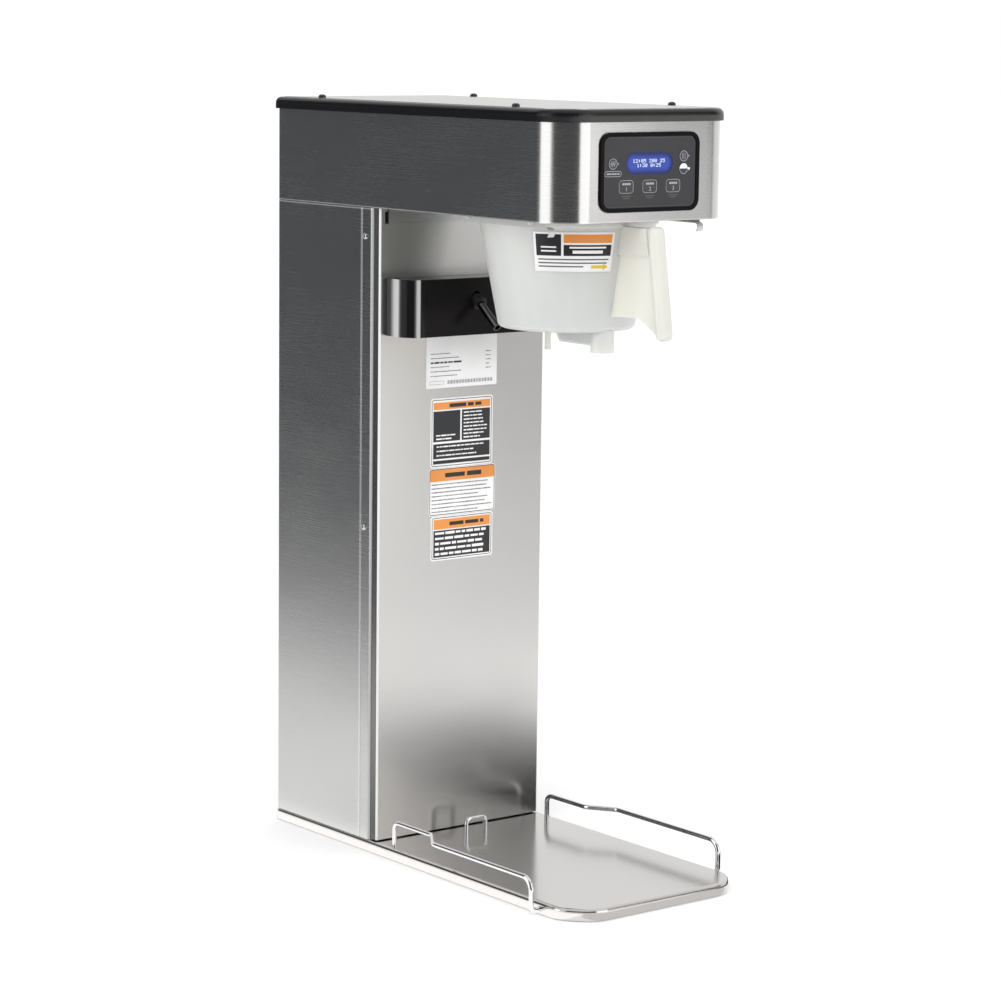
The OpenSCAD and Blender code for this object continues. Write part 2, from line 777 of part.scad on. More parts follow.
// Half section of the bowl's outside, or of its inside when inset by the wall
function bowl_arc(r, f) = [for (a = [0:15:90]) [r - f + f * sin(a), f - f * cos(a)]];

module bowl_solid(inset, top) {
    r = bowl_low_r - inset;
    f = bowl_fillet - inset / 2;
    translate([0, y_axis, bowl_z + inset]) rotate_extrude($fn = 96)
        polygon(concat([[0, 0]], bowl_arc(r + f * wall_lean, f), [[bowl_top_r - inset, top], [0, top]]));
}

trough_w = 22;

module trough(inset) {
    low = bowl_z - trough_h + inset;
    back = y_axis + 10 - inset;
    front = y_axis - spout_offset;
    translate([-trough_w / 2 + inset, 0, 0]) rotate([90, 0, 90]) linear_extrude(trough_w - 2 * inset)
        polygon([[back, bowl_z + bowl_t / 2 + inset], [y_axis - 2 - inset, low], [front, low], [front, bowl_z + bowl_t / 2 + inset]]);
}

z_grip = z_cup - grip_drop;
grip_r = grip_d / 2;
grip_step = grip_w - grip_d;
grip_top = [0, y_axis - grip_top_out, z_grip - grip_r];
grip_low = [0, y_axis - grip_low_out, z_grip - grip_h + grip_r];
grip_dir = unit(grip_top - grip_low);
grip_len = norm(grip_top - grip_low);

// Flat bar with fully rounded edges and corners
module grip() {
    along(grip_low, grip_dir) {
        for (v = [0, grip_step]) translate([0, v, 0]) {
            cylinder(r = grip_r, h = grip_len);
            sphere(r = grip_r);
            translate([0, 0, grip_len]) sphere(r = grip_r);
        }
        for (w = [0, grip_len]) translate([0, 0, w]) rotate([-90, 0, 0]) cylinder(r = grip_r, h = grip_step);
        translate([-grip_r, 0, 0]) cube([grip_d, grip_step, grip_len]);
    }
}

// Web from the bowl's wall to the grip, thicker near the rim
module handle() {
    web_low = z_grip - 101.5;
    upper = z_grip - 33.5;
    lobe = [[14, -112], [22, -107], [32, -102], [40, -99.5]];
    grip();
    translate([-web_t / 2, 0, 0]) rotate([90, 0, 90]) linear_extrude(web_t)
        polygon(concat([[y_axis - bowl_r(z_grip) + bowl_t, z_grip - 2], [grip_top.y, z_grip - 2],
            [grip_low.y + grip_step, grip_low.z]], [for (p = lobe) [grip_low.y + p.x, z_grip + p.y]],
            [[y_axis - bowl_r(web_low) + bowl_t, web_low]]));
    translate([-web_t * 1.4, 0, 0]) rotate([90, 0, 90]) linear_extrude(web_t * 2.8)
        polygon([[y_axis - bowl_r(z_grip) + bowl_t, z_grip - 2], [grip_top.y + grip_step, z_grip - 2],
            [grip_top.y + 2, upper + 3], [y_axis - bowl_r(upper) + bowl_t, upper]]);
}

ear_len = 96;
rim_r = bowl_top_r + 1;
cup_band = 6;
lug_h = 28;

module brew_funnel() {
    color(milky) difference() {
        union() {
            bowl_solid(0, bowl_h);
            translate([0, y_axis, z_ear]) linear_extrude(ear_t) {
                square([2 * (rail_x - rail_gap), ear_len], center = true);
                circle(r = rim_r);
            }
            translate([0, y_axis, z_cup - cup_band]) cylinder(r = rim_r, h = cup_band);
            trough(0);
            translate([0, y_axis - spout_offset, bowl_z - spout_h]) cylinder(d = spout_d, h = spout_h + 2);
            translate([-1.5, y_axis + 28, bowl_z - lug_h]) cube([3, 8, lug_h + 2]);
            handle();
        }
        bowl_solid(bowl_t, bowl_h + 5);
        trough(bowl_t * 0.8);
        translate([0, y_axis - spout_offset, bowl_z - spout_h - 1]) cylinder(d = spout_bore, h = spout_h + bowl_t + 2);
    }
}

support_r = spout_offset - spout_bore / 2 - 1;
support_wire = 2.4;

module filter_support() {
    color(chrome) translate([0, y_axis, bowl_z + bowl_t]) linear_extrude(support_wire) {
        for (r = [support_r, support_r / 2]) difference() {
            circle(r = r);
            circle(r = r - support_wire);
        }
        difference() {
            for (a = [0:45:135]) rotate([0, 0, a]) square([2 * support_r - 2, support_wire], center = true);
            circle(r = 6);
        }
        difference() {
            circle(r = 7);
            circle(r = 7 - support_wire);
        }
    }
}

card_t = 0.3;
card_low = 54;
card_high = 11;
card_from = 208;
card_to = 262.5;

module funnel_card() {
    z0 = z_cup - card_low;
    z1 = z_cup - card_high;
    color("white") translate([0, y_axis, 0]) rotate([0, 0, card_from]) rotate_extrude(angle = card_to - card_from)
        polygon([[bowl_r(z0) + 0.05, z0], [bowl_r(z0) + card_t, z0], [bowl_r(z1) + card_t, z1], [bowl_r(z1) + 0.05, z1]]);
}

// Tank and its fittings
z_lid = z_trunk - tank_drop;
z_tank = z_lid - tank_h;
tank_back_gap = 16;
y_tank1 = y_back - tank_back_gap;
y_tank0 = y_tank1 - tank_d;
y_tank = (y_tank0 + y_tank1) / 2;
tank_r = 12;
gasket_t = 2;
lid_t = 2.5;
flange_out = 7;
z_lid_top = z_lid + gasket_t + lid_t;

module tank_plan(inset) {
    plan(tank_w, y_tank0, y_tank1, tank_r, tank_r, inset);
}

module hot_water_tank() {
    color(steel) difference() {
        union() {
            translate([0, 0, z_tank]) linear_extrude(tank_h) tank_plan(0);
            translate([0, 0, z_lid - 1.5]) linear_extrude(1.5) tank_plan(-flange_out);
        }
        translate([0, 0, z_tank + tank_t]) linear_extrude(tank_h) tank_plan(tank_t);
        translate([tank_port_x, y_tank, z_tank - 1]) cylinder(d = pipe_d + 0.2, h = 5);
    }
}

module tank_gasket() {
    color(black) translate([0, 0, z_lid]) linear_extrude(gasket_t) difference() {
        tank_plan(-flange_out);
        tank_plan(1);
    }
}

tank_port_x = -50;
out_port_y = y_tank + 40;
element_x = 40;
element_half = 30;
probe_x = -35;
probe_front = 30;
probe_d = 6;
probe_len = 160;
level_x = -60;
level_back = 10;
level_d = 5;
level_len = 70;

module tank_lid() {
    color(steel) difference() {
        translate([0, 0, z_lid + gasket_t]) linear_extrude(lid_t) tank_plan(-flange_out);
        for (p = [[0, out_port_y, pipe_d], [element_x, y_tank - element_half, element_d + 1.6],
            [element_x, y_tank + element_half, element_d + 1.6],
            [probe_x, y_tank - probe_front, probe_d], [level_x, y_tank + level_back, level_d]])
            translate([p[0], p[1], z_lid]) cylinder(d = p[2] + 0.3, h = 10);
    }
}

element_d = 8.4;
element_bend = 14;
element_low = 30;
element_stub = 14;

module heating_element() {
    low = z_tank + element_low;
    top = z_lid_top + element_stub;
    front = y_tank - element_half;
    rear = y_tank + element_half;
    color([0.6, 0.6, 0.62]) rod([[element_x, front, top], [element_x, front, low], [element_x, rear, low],
        [element_x, rear, top]], element_d / 2, element_bend);
}

module temperature_probe() {
    color(chrome) {
        translate([probe_x, y_tank - probe_front, z_lid_top - probe_len]) cylinder(d = probe_d, h = probe_len);
        translate([probe_x, y_tank - probe_front, z_lid_top]) cylinder(d = 2 * probe_d, h = 10, $fn = 6);
    }
}

module level_probe() {
    color(chrome) {
        translate([level_x, y_tank + level_back, z_lid_top - level_len]) cylinder(d = level_d, h = level_len);
        translate([level_x, y_tank + level_back, z_lid_top]) cylinder(d = level_d + 6, h = 12);
    }
}

stat_d = 24;
stat_h = 9;
stat_pin = 8;
stat_drop = 60;

module limit_thermostat() {
    color(black) translate([0, y_tank0 - stat_h, z_lid - stat_drop]) rotate([-90, 0, 0]) union() {
        cylinder(d = stat_d, h = stat_h);
        translate([0, 0, -stat_pin / 2]) cube([stat_d + 6, stat_pin, stat_pin], center = true);
    }
}

bracket_d = 60;
bracket_h = 26;
bracket_low = 40;
bracket_drop = 60;

module tank_brackets() {
    side_gap = (trunk_w - tank_w) / 2 - sheet_t;
    color(steel) for (s = [-1, 1], z = [z_tank + bracket_low, z_lid - bracket_drop])
        translate([s * (tank_w / 2 + side_gap / 2), y_tank, z]) difference() {
            cube([side_gap - 0.2, bracket_d, bracket_h], center = true);
            cube([side_gap - 0.2 - 2 * tank_t, bracket_d + 10, bracket_h + 4], center = true);
        }
}

// The shelf on which the valves stand, across the trunk's top
z_shelf = z_trunk + 4;
shelf_t = 1.5;
z_on_shelf = z_shelf + shelf_t;

module valve_shelf() {
    color(steel) difference() {
        translate([0, 0, z_shelf]) linear_extrude(shelf_t) intersection() {
            hood_plan(sheet_t + 0.1);
            translate([-half_w, y_panel + 6]) square([trunk_w, y_back - y_panel]);
        }
        translate([0, out_port_y, z_shelf - 1]) cylinder(d = pipe_d + 4, h = 5);
        for (p = [[hose_x, y_hose], [riser_x, riser_y]])
            translate([p[0], p[1], z_shelf - 1]) cylinder(d = pipe_d + 3, h = 5);
    }
}

valve_body = 28;
valve_len = 40;
valve_h = 38;
valve_port_z = 26;
port_depth = 8;
pipe_start = valve_len / 2 - port_depth + 0.5;
coil_d = 32;
coil_h = 34;
brew_valve_y = y_panel + 32;
pipe_z = z_on_shelf + valve_port_z;
hose_inset = 52.6;
riser_inset = 22.6;
inlet_valve_gap = 36;
hose_x = hose_inset - half_w;
riser_x = riser_inset - half_w;
inlet_valve_y = y_back - sheet_t - inlet_valve_gap;
riser_y = inlet_valve_y;

// Solenoid valve: a square body with a round coil on top and a port at each end along Y
module solenoid_valve() {
    difference() {
        union() {
            translate([-valve_body / 2, -valve_len / 2, 0]) cube([valve_body, valve_len, valve_h]);
            translate([0, 0, valve_h]) cylinder(d = coil_d, h = coil_h);
            translate([0, 0, valve_h + coil_h]) cylinder(d = 10, h = 4);
        }
        for (y = [-valve_len / 2 - 1, valve_len / 2 - port_depth])
            translate([0, y, valve_port_z]) rotate([-90, 0, 0]) cylinder(d = pipe_d + 0.2, h = port_depth + 1);
    }
}

module brew_valve() {
    color([0.75, 0.75, 0.7]) translate([0, brew_valve_y, z_on_shelf]) solenoid_valve();
}

dilution_valve_y = y_panel + 52;

module dilution_valve() {
    color([0.75, 0.75, 0.7]) translate([hose_x, dilution_valve_y, z_on_shelf]) solenoid_valve();
}

z_inlet_valve = z_service - valve_port_z;
stand_w = 40;
stand_d = 24;

module inlet_valve() {
    color([0.75, 0.75, 0.7]) {
        translate([-service_x, inlet_valve_y, z_inlet_valve]) solenoid_valve();
        translate([-service_x - stand_w / 2, inlet_valve_y - stand_d / 2, z_deck + 0.1])
            cube([stand_w, stand_d, z_inlet_valve - z_deck - 0.1]);
    }
}

module brew_feed_tube() {
    color(chrome) pipe([[0, out_port_y, z_lid_top - 8], [0, out_port_y, pipe_z], [0, brew_valve_y + pipe_start, pipe_z]],
        pipe_d, pipe_bore, 16);
}

module brew_tube() {
    color(chrome) pipe([[0, brew_valve_y - pipe_start, pipe_z], [0, y_axis, pipe_z], [0, y_axis, z_trunk + 16.6]],
        pipe_d, pipe_bore, 12);
}

module dilution_hose() {
    color([0.85, 0.85, 0.85]) pipe([[hose_x, dilution_valve_y - pipe_start, pipe_z], [hose_x, y_hose, pipe_z],
        [hose_x, y_hose, z_tube], [tube_x, y_hose, z_tube], [tube_x, y_tube_end, z_tube]], pipe_d, pipe_bore, 9);
}

tank_run = 60;
riser_lead = 30;
pipe_bend = 14;

module water_tubes() {
    color(chrome) {
        pipe([[-service_x, inlet_valve_y - pipe_start, z_service], [-service_x, y_tank + 0.1, z_service],
            [tank_port_x, y_tank, z_tank - tank_run], [tank_port_x, y_tank, z_tank + 2 * tank_t]],
            pipe_d, pipe_bore, pipe_bend);
        pipe([[-service_x - valve_body / 2, riser_y, z_service], [riser_x, riser_y, z_service],
            [riser_x, riser_y, pipe_z], [hose_x, riser_y - riser_lead, pipe_z],
            [hose_x, dilution_valve_y + pipe_start, pipe_z]], pipe_d, pipe_bore, pipe_bend);
    }
}

// Rear connections
module water_inlet() {
    color([0.8, 0.7, 0.4]) translate([-service_x, 0, z_service]) rotate([-90, 0, 0]) difference() {
        union() {
            translate([0, 0, y_back]) cylinder(d = 20, h = inlet_nut, $fn = 6);
            translate([0, 0, y_back + inlet_nut]) cylinder(d = inlet_d, h = inlet_len);
            translate([0, 0, inlet_valve_y + pipe_start]) cylinder(d = pipe_d, h = y_back - inlet_valve_y - 12);
        }
        translate([0, 0, inlet_valve_y]) cylinder(d = 5, h = y_back);
    }
}

module cord_bushing() {
    color(black) translate([service_x, 0, z_service]) rotate([-90, 0, 0]) difference() {
        union() {
            translate([0, 0, y_back]) cylinder(d = bushing_d + 7, h = 3);
            translate([0, 0, y_back - 7]) cylinder(d = bushing_d - 0.2, h = 7.5);
        }
        translate([0, 0, y_back - 8]) cylinder(d = bushing_bore, h = 12);
    }
}

rocker_r = 8.5;
rocker_w = 14;
rocker_tilt = 12;
y_rocker = y_back + 0.5;

module switch_housing() {
    color(black) difference() {
        union() {
            facing(0, y_back, z_service, 2) square([switch_w + 4, switch_h + 4], center = true);
            facing(0, y_back - 14, z_service, 15) square([switch_w - 0.3, switch_h - 0.3], center = true);
        }
        facing(0, y_back - 11, z_service, 15) square([rocker_w + 0.6, 2 * rocker_r + 1], center = true);
    }
}

module switch_rocker() {
    color(black) translate([0, y_rocker, z_service]) rotate([0, 90, 0]) rotate([0, 0, -rocker_tilt])
        translate([0, 0, -rocker_w / 2]) linear_extrude(rocker_w) difference() {
            circle(r = rocker_r);
            for (a = [-rocker_tilt, rocker_tilt]) rotate([0, 0, a])
                translate([-rocker_r * 2, rocker_r * 0.42]) square([4 * rocker_r, rocker_r]);
        }
}

// Blank plates and cards on the trunk's panel: centre X, lower and upper edge over the deck, width
data_plate_at = [-2, 526.5, 587, 103];
card_places = [[-1, 433.2, 514.5, 91], [0.5, 377, 432.6, 97], [0.5, 323.8, 376.4, 91]];
plate_r = 1.5;
card_r = 3.5;

module panel_card(at, t, r) {
    facing(at[0], y_panel - t, z_deck + (at[1] + at[2]) / 2, t) round_rect(at[3], at[2] - at[1], r);
}

module data_plate() {
    color("white") panel_card(data_plate_at, 0.5, plate_r);
}

module panel_cards() {
    color([0.95, 0.6, 0.25]) for (c = card_places) panel_card(c, card_t, card_r);
}

base_tray();
rubber_feet();
left_guide();
right_guide();
stop_loop();
wire_clips();
corner_posts();
trunk_cover();
front_panel();
trim_screws();
dilution_cover();
dilution_grommet();
dilution_tube();
hood_shell();
hood_floor();
top_rim();
top_plate();
top_screws();
control_bezel();
control_panel();
display_window();
brew_key(1);  // brew_key_1
brew_key(2);  // brew_key_2
brew_key(3);  // brew_key_3
round_key(0);  // rinse_key
round_key(1);  // upper_key
round_key(2);  // lower_key
status_lamp();
control_board();
board_posts();
rail_left();
rail_right();
rail_screws();
sprayhead();
brew_tube();
brew_funnel();
filter_support();
funnel_card();
hot_water_tank();
tank_gasket();
tank_lid();
heating_element();
temperature_probe();
level_probe();
limit_thermostat();
tank_brackets();
valve_shelf();
inlet_valve();
brew_valve();
dilution_valve();
water_tubes();
brew_feed_tube();
dilution_hose();
water_inlet();
cord_bushing();
switch_housing();
switch_rocker();
data_plate();
panel_cards();
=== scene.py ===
"""Looks of a countertop iced tea maker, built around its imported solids.

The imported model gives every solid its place. This script dresses each solid in
a procedural finish, adds the screw heads, thin prints and pixel rows that the
solids don't carry, and sets up the camera, the floor and the soft studio light.
Lengths are metres in the model's frame: +Z is up and the front faces -Y.
"""

import logging
import math
import random
from dataclasses import dataclass
from enum import Enum
from typing import Sequence

import bmesh
import bpy
from mathutils import Matrix, Vector


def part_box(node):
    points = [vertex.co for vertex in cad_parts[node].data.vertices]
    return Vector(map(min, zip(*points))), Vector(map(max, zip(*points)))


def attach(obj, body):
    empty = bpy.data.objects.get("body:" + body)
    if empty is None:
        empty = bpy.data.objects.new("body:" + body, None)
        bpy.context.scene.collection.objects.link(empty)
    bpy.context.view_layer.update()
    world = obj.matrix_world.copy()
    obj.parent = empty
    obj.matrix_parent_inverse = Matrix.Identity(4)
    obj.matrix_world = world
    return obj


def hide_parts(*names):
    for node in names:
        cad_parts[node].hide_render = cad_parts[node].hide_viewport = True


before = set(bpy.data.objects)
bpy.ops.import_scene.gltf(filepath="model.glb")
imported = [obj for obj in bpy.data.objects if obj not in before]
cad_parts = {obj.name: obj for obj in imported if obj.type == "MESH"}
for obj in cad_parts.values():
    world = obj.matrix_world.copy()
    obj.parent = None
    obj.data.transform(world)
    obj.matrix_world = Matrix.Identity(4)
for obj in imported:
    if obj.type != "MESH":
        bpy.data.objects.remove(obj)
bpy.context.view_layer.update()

LOG = logging.getLogger("tea_maker")
MM = 0.001
QUAD = [(0, 1, 2, 3)]
HOUSING = "housing"
FUNNEL = "funnel"

Node = bpy.types.Node
Socket = bpy.types.NodeSocket
Mesh = bpy.types.Mesh
Point2 = tuple[float, float]
Outline = list[Point2]
Colour = tuple[float, float, float]
Four = tuple[float, float, float, float]


class Graph:
    """Adds nodes to one tree and links them."""

    def __init__(self, tree: bpy.types.NodeTree) -> None:
        """Starts on a tree.

        Args:
            tree: The tree that the nodes go into.
        """
        self.tree = tree

    def add(self, kind: str, values: dict | None = None, **settings) -> Node:
        """Adds a node.

        Args:
            kind: The node's type name.
            values: Socket values by input name or number.
            **settings: Properties of the node itself.

        Returns:
            The new node.
        """
        node = self.tree.nodes.new(kind)
        place = len(self.tree.nodes)
        node.location = (230 * (place % 9), -300 * (place // 9))
        for key, value in settings.items():
            setattr(node, key, value)
        self.put(node, values or {})
        return node

    def put(self, node: Node, values: dict) -> None:
        """Sets a node's inputs by name or number."""
        for key, value in values.items():
            node.inputs[key].default_value = value

    def link(self, source: Socket, target: Socket) -> None:
        """Links an output to an input."""
        self.tree.links.new(source, target)

    def feed(self, node: Node, terms: Sequence) -> Node:
        """Fills a node's first inputs with numbers or links from sockets, and returns the node."""
        for place, term in enumerate(terms):
            if isinstance(term, Socket):
                self.link(term, node.inputs[place])
            else:
                node.inputs[place].default_value = term
        return node

    def vector(self, *terms) -> Socket:
        """Joins three numbers or sockets in a vector and returns its socket."""
        return self.feed(self.add("ShaderNodeCombineXYZ"), terms).outputs[0]

    def math(self, operation: str, *terms) -> Socket:
        """Adds a Math node.

        Args:
            operation: The operation's name.
            *terms: Numbers or output sockets.

        Returns:
            The result's socket.
        """
        return self.feed(self.add("ShaderNodeMath", operation=operation), terms).outputs[0]

    def object_point(self) -> Socket:
        """Returns the point on the surface in the model's frame."""
        return self.add("ShaderNodeTexCoord").outputs["Object"]

    def noise(self, stretch: Sequence[float], detail: float = 3.0, rough: float = 0.55) -> Socket:
        """Adds noise in the model's frame.

        Args:
            stretch: Waves per metre along each axis.
            detail: Number of octaves.
            rough: How much the finer octaves count.

        Returns:
            The noise value's socket, about 0.3 to 0.7.
        """
        mapping = self.add("ShaderNodeMapping", {"Scale": tuple(stretch)})
        self.link(self.object_point(), mapping.inputs["Vector"])
        noise = self.add("ShaderNodeTexNoise", {"Scale": 1.0, "Detail": detail, "Roughness": rough})
        self.link(mapping.outputs["Vector"], noise.inputs["Vector"])
        return noise.outputs[0]

    def spread(self, value: Socket, low: float, high: float,
               start: float = 0.3, end: float = 0.7) -> Socket:
        """Maps a value from start..end to low..high and returns the socket."""
        node = self.add("ShaderNodeMapRange", {
            "From Min": start, "From Max": end, "To Min": low, "To Max": high})
        self.link(value, node.inputs["Value"])
        return node.outputs["Result"]

    def tones(self, value: Socket, colour: Colour, dark: float, light: float) -> Socket:
        """Blends between a darker and a lighter tone of a colour.

        Args:
            value: The blend, about 0.3 to 0.7.
            colour: The middle colour.
            dark: Factor on the colour at the low end.
            light: Factor on the colour at the high end.

        Returns:
            The colour's socket.
        """
        ramp = self.add("ShaderNodeValToRGB")
        for stop, place, factor in zip(ramp.color_ramp.elements, (0.3, 0.7), (dark, light)):
            stop.position = place
            stop.color = tuple(min(1.0, part * factor) for part in colour) + (1.0,)
        self.link(value, ramp.inputs["Fac"])
        return ramp.outputs["Color"]

    def blend(self, share: Socket, first: Socket | Colour, second: Socket | Colour) -> Socket:
        """Mixes two colours.

        Args:
            share: How much of the second colour shows, 0 to 1.
            first: A plain colour or a colour's socket.
            second: A plain colour or a colour's socket.

        Returns:
            The mixed colour's socket.
        """
        node = self.add("ShaderNodeMix", data_type="RGBA")
        self.link(share, node.inputs[0])
        for place, term in ((6, first), (7, second)):
            if isinstance(term, Socket):
                self.link(term, node.inputs[place])
            else:
                node.inputs[place].default_value = (*term, 1.0)
        return node.outputs[2]

    def end(self, kind: str, result: Socket) -> None:
        """Ends the tree in its output node."""
        self.link(result, self.add(kind).inputs[0])

    def split(self, vector: Socket) -> Node:
        """Returns a node whose X, Y and Z outputs are a vector's parts."""
        node = self.add("ShaderNodeSeparateXYZ")
        self.link(vector, node.inputs[0])
        return node

    def turned(self) -> Node:
        """Returns a node whose X, Y and Z outputs are the surface's direction in the model's frame."""
        return self.split(self.add("ShaderNodeTexCoord").outputs["Normal"])

    def bump(self, shader: Node, height: Socket, strength: float, depth: float) -> None:
        """Roughens a shader's normal by a height.

        Args:
            shader: The shader node.
            height: The height's socket.
            strength: The bump's strength from 0 to 1.
            depth: The depth in metres that a height of 1 stands for.
        """
        bump = self.add("ShaderNodeBump", {"Strength": strength, "Distance": depth})
        self.link(height, bump.inputs["Height"])
        self.link(bump.outputs["Normal"], shader.inputs["Normal"])


def blank_material(name: str) -> tuple[bpy.types.Material, Graph]:
    """Returns a new material with an empty tree, and the graph that fills it."""
    material = bpy.data.materials.new(name)
    material.use_nodes = True
    material.node_tree.nodes.clear()
    return material, Graph(material.node_tree)


class BrushRun(Enum):
    """Which way the brushing lines run on a sheet: waves per metre and the way they blur."""

    LEVEL = ((7.0, 7.0, 1700.0), (0.0, 0.0, 1.0))
    CROSSWISE = ((7.0, 1700.0, 7.0), (0.0, 1.0, 0.0))


@dataclass(frozen=True)
class Finish:
    """A finish with a soft mottle in its colour and roughness."""

    name: str
    colour: Colour
    roughness: float = 0.4

    def material(self) -> bpy.types.Material:
        """Returns the finish's material, made on first use."""
        known = bpy.data.materials.get(self.name)
        if known:
            return known
        material, graph = blank_material(self.name)
        material.diffuse_color = (*self.colour, 1.0)
        shader = graph.add("ShaderNodeBsdfPrincipled",
                           {"Base Color": (*self.colour, 1.0), "Roughness": self.roughness})
        graph.end("ShaderNodeOutputMaterial", shader.outputs["BSDF"])
        self.dress(graph, shader)
        return material

    def dress(self, graph: Graph, shader: Node) -> None:
        """Adds the finish's detail to its shader.

        Args:
            graph: The material's graph.
            shader: The shader node.
        """
        mottle = graph.noise((60, 60, 60))
        self.tint(graph, shader, mottle, 0.94, 1.05)
        self.roughen(graph, shader, mottle, 0.03, 0.04)

    def tint(self, graph: Graph, shader: Node, value: Socket, dark: float, light: float) -> None:
        """Varies the colour with a value.

        Args:
            graph: The material's graph.
            shader: The shader node.
            value: The value's socket, about 0.3 to 0.7.
            dark: Factor on the colour at the low end.
            light: Factor on the colour at the high end.
        """
        graph.link(graph.tones(value, self.colour, dark, light), shader.inputs["Base Color"])

    def roughen(self, graph: Graph, shader: Node, value: Socket, less: float, more: float) -> None:
        """Varies the roughness with a value.

        Args:
            graph: The material's graph.
            shader: The shader node.
            value: The value's socket, about 0.3 to 0.7.
            less: How much smoother the low end is.
            more: How much rougher the high end is.
        """
        rough = graph.spread(value, self.roughness - less, self.roughness + more)
        graph.link(rough, shader.inputs["Roughness"])


@dataclass(frozen=True)
class BrushedSteel(Finish):
    """Stainless sheet with fine brushing lines and faint handling marks."""

    run: BrushRun = BrushRun.LEVEL
    anisotropy: float = 0.80
    grain: float = 0.02
    relief: float = 0.006

    def dress(self, graph: Graph, shader: Node) -> None:
        """Adds brushing lines, cloudy wipe marks and a stretched highlight."""
        stretch, blur = self.run.value
        graph.put(shader, {"Metallic": 1.0, "Anisotropic": self.anisotropy})
        lines = graph.noise(stretch, detail=4.0, rough=0.7)
        wipes = graph.noise((5, 5, 9), detail=2.0)
        self.tint(graph, shader, lines, 1 - self.grain, 1 + self.grain / 2)
        rough = graph.spread(lines, self.roughness - 0.02, self.roughness + 0.03)
        clouds = graph.spread(wipes, -0.015, 0.02)
        graph.link(graph.math("ADD", rough, clouds), shader.inputs["Roughness"])
        graph.link(graph.vector(*blur), shader.inputs["Tangent"])
        graph.bump(shader, lines, self.relief, 0.0001)


@dataclass(frozen=True)
class FoldedSteel(BrushedSteel):
    """Brushed sheet with a painted highlight on its folds and hems, and painted shade on its flanks.

    The folds and hems are painted pale and less metallic so that they show as bright edge lines, and the
    flanks are painted darker towards their foot. FOLD and FLANK say how far a fold and a flank are turned
    to the side. A hem is a band between two places along an axis.
    """

    # Tone of the painted highlight on the folds (0 for none), how much of a flank's colour is left at its
    # foot under the painted shade, the height where that painted shade ends, and the hems that get a painted
    # highlight line.
    fold_tone: float = 0.0
    flank_foot: float = 1.0
    flank_top: float = 0.7
    hems: tuple[tuple[str, float, float], ...] = ()

    # Turn limits of a fold and a flank, and the tone and loss of metal of the painted highlight on a hem.
    FOLD = (0.15, 0.95)
    FLANK = 0.93
    HEM_TONE = 0.62
    HEM_HAZE = 0.3

    def dress(self, graph: Graph, shader: Node) -> None:
        """Paints the highlight on the folds and hems, and the shade on the flanks, over the brushed sheet."""
        super().dress(graph, shader)
        colour = shader.inputs["Base Color"].links[0].from_socket
        turned = graph.math("ABSOLUTE", graph.turned().outputs["X"])
        point = graph.split(graph.object_point())
        metal = graph.math("ADD", 1.0, 0.0)
        # Painted shade: the flanks darken towards their foot.
        if self.flank_foot < 1.0:
            flank_shade_mask = graph.spread(point.outputs["Z"], 1.0 - self.flank_foot, 0.0, 0.0, self.flank_top)
            share = graph.math("MULTIPLY", graph.math("GREATER_THAN", turned, self.FLANK), flank_shade_mask)
            colour = graph.blend(share, colour, (0.0, 0.0, 0.0))
        # Painted highlight: the folds turn pale and lose their metal.
        if self.fold_tone:
            fold = self.between(graph, turned, *self.FOLD)
            colour = graph.blend(fold, colour, (self.fold_tone,) * 3)
            metal = graph.math("SUBTRACT", metal, fold)
        # Painted highlight: each hem turns into a pale, less metallic line.
        for axis, low, high in self.hems:
            hem = self.between(graph, point.outputs[axis], low, high)
            colour = graph.blend(hem, colour, (self.HEM_TONE,) * 3)
            metal = graph.math("SUBTRACT", metal, graph.math("MULTIPLY", hem, self.HEM_HAZE))
        graph.link(colour, shader.inputs["Base Color"])
        graph.link(graph.math("MAXIMUM", metal, 0.0), shader.inputs["Metallic"])

    def between(self, graph: Graph, value: Socket, low: float, high: float) -> Socket:
        """Returns a socket that is 1 where a value lies between two limits, and 0 elsewhere."""
        above = graph.math("GREATER_THAN", value, low)
        return graph.math("MULTIPLY", above, graph.math("LESS_THAN", value, high))


@dataclass(frozen=True)
class SatinMetal(Finish):
    """Blasted sheet that spreads the light it mirrors."""

    metal: float = 0.45

    def dress(self, graph: Graph, shader: Node) -> None:
        """Adds a fine blasted grain over part mirror, part haze."""
        graph.put(shader, {"Metallic": self.metal})
        blast = graph.noise((900, 900, 900), detail=2.0)
        self.tint(graph, shader, blast, 0.95, 1.04)
        self.roughen(graph, shader, blast, 0.03, 0.05)
        graph.bump(shader, blast, 0.04, 0.0001)


@dataclass(frozen=True)
class DrawnMetal(Finish):
    """Bright drawn wire, tube or turned metal with faint drawing marks."""

    def dress(self, graph: Graph, shader: Node) -> None:
        """Adds faint marks and small differences in shine."""
        graph.put(shader, {"Metallic": 1.0})
        marks = graph.noise((260, 260, 260), detail=4.0)
        self.tint(graph, shader, marks, 0.93, 1.04)
        self.roughen(graph, shader, marks, 0.02, 0.06)
        graph.bump(shader, marks, 0.04, 0.0002)


@dataclass(frozen=True)
class MilkyPlastic(Finish):
    """Natural moulded plastic that light sinks into."""

    def dress(self, graph: Graph, shader: Node) -> None:
        """Adds depth, moulding flow and a slightly waxy surface."""
        graph.put(shader, {
            "Subsurface Weight": 0.8, "Subsurface Radius": (1.0, 0.9, 0.7), "Subsurface Scale": 0.012,
            "Specular IOR Level": 0.45})
        flow = graph.noise((26, 26, 6), detail=2.0)
        wax = graph.noise((900, 900, 900), detail=2.0)
        self.tint(graph, shader, flow, 0.96, 1.03)
        self.roughen(graph, shader, flow, 0.04, 0.08)
        graph.bump(shader, wax, 0.05, 0.0002)


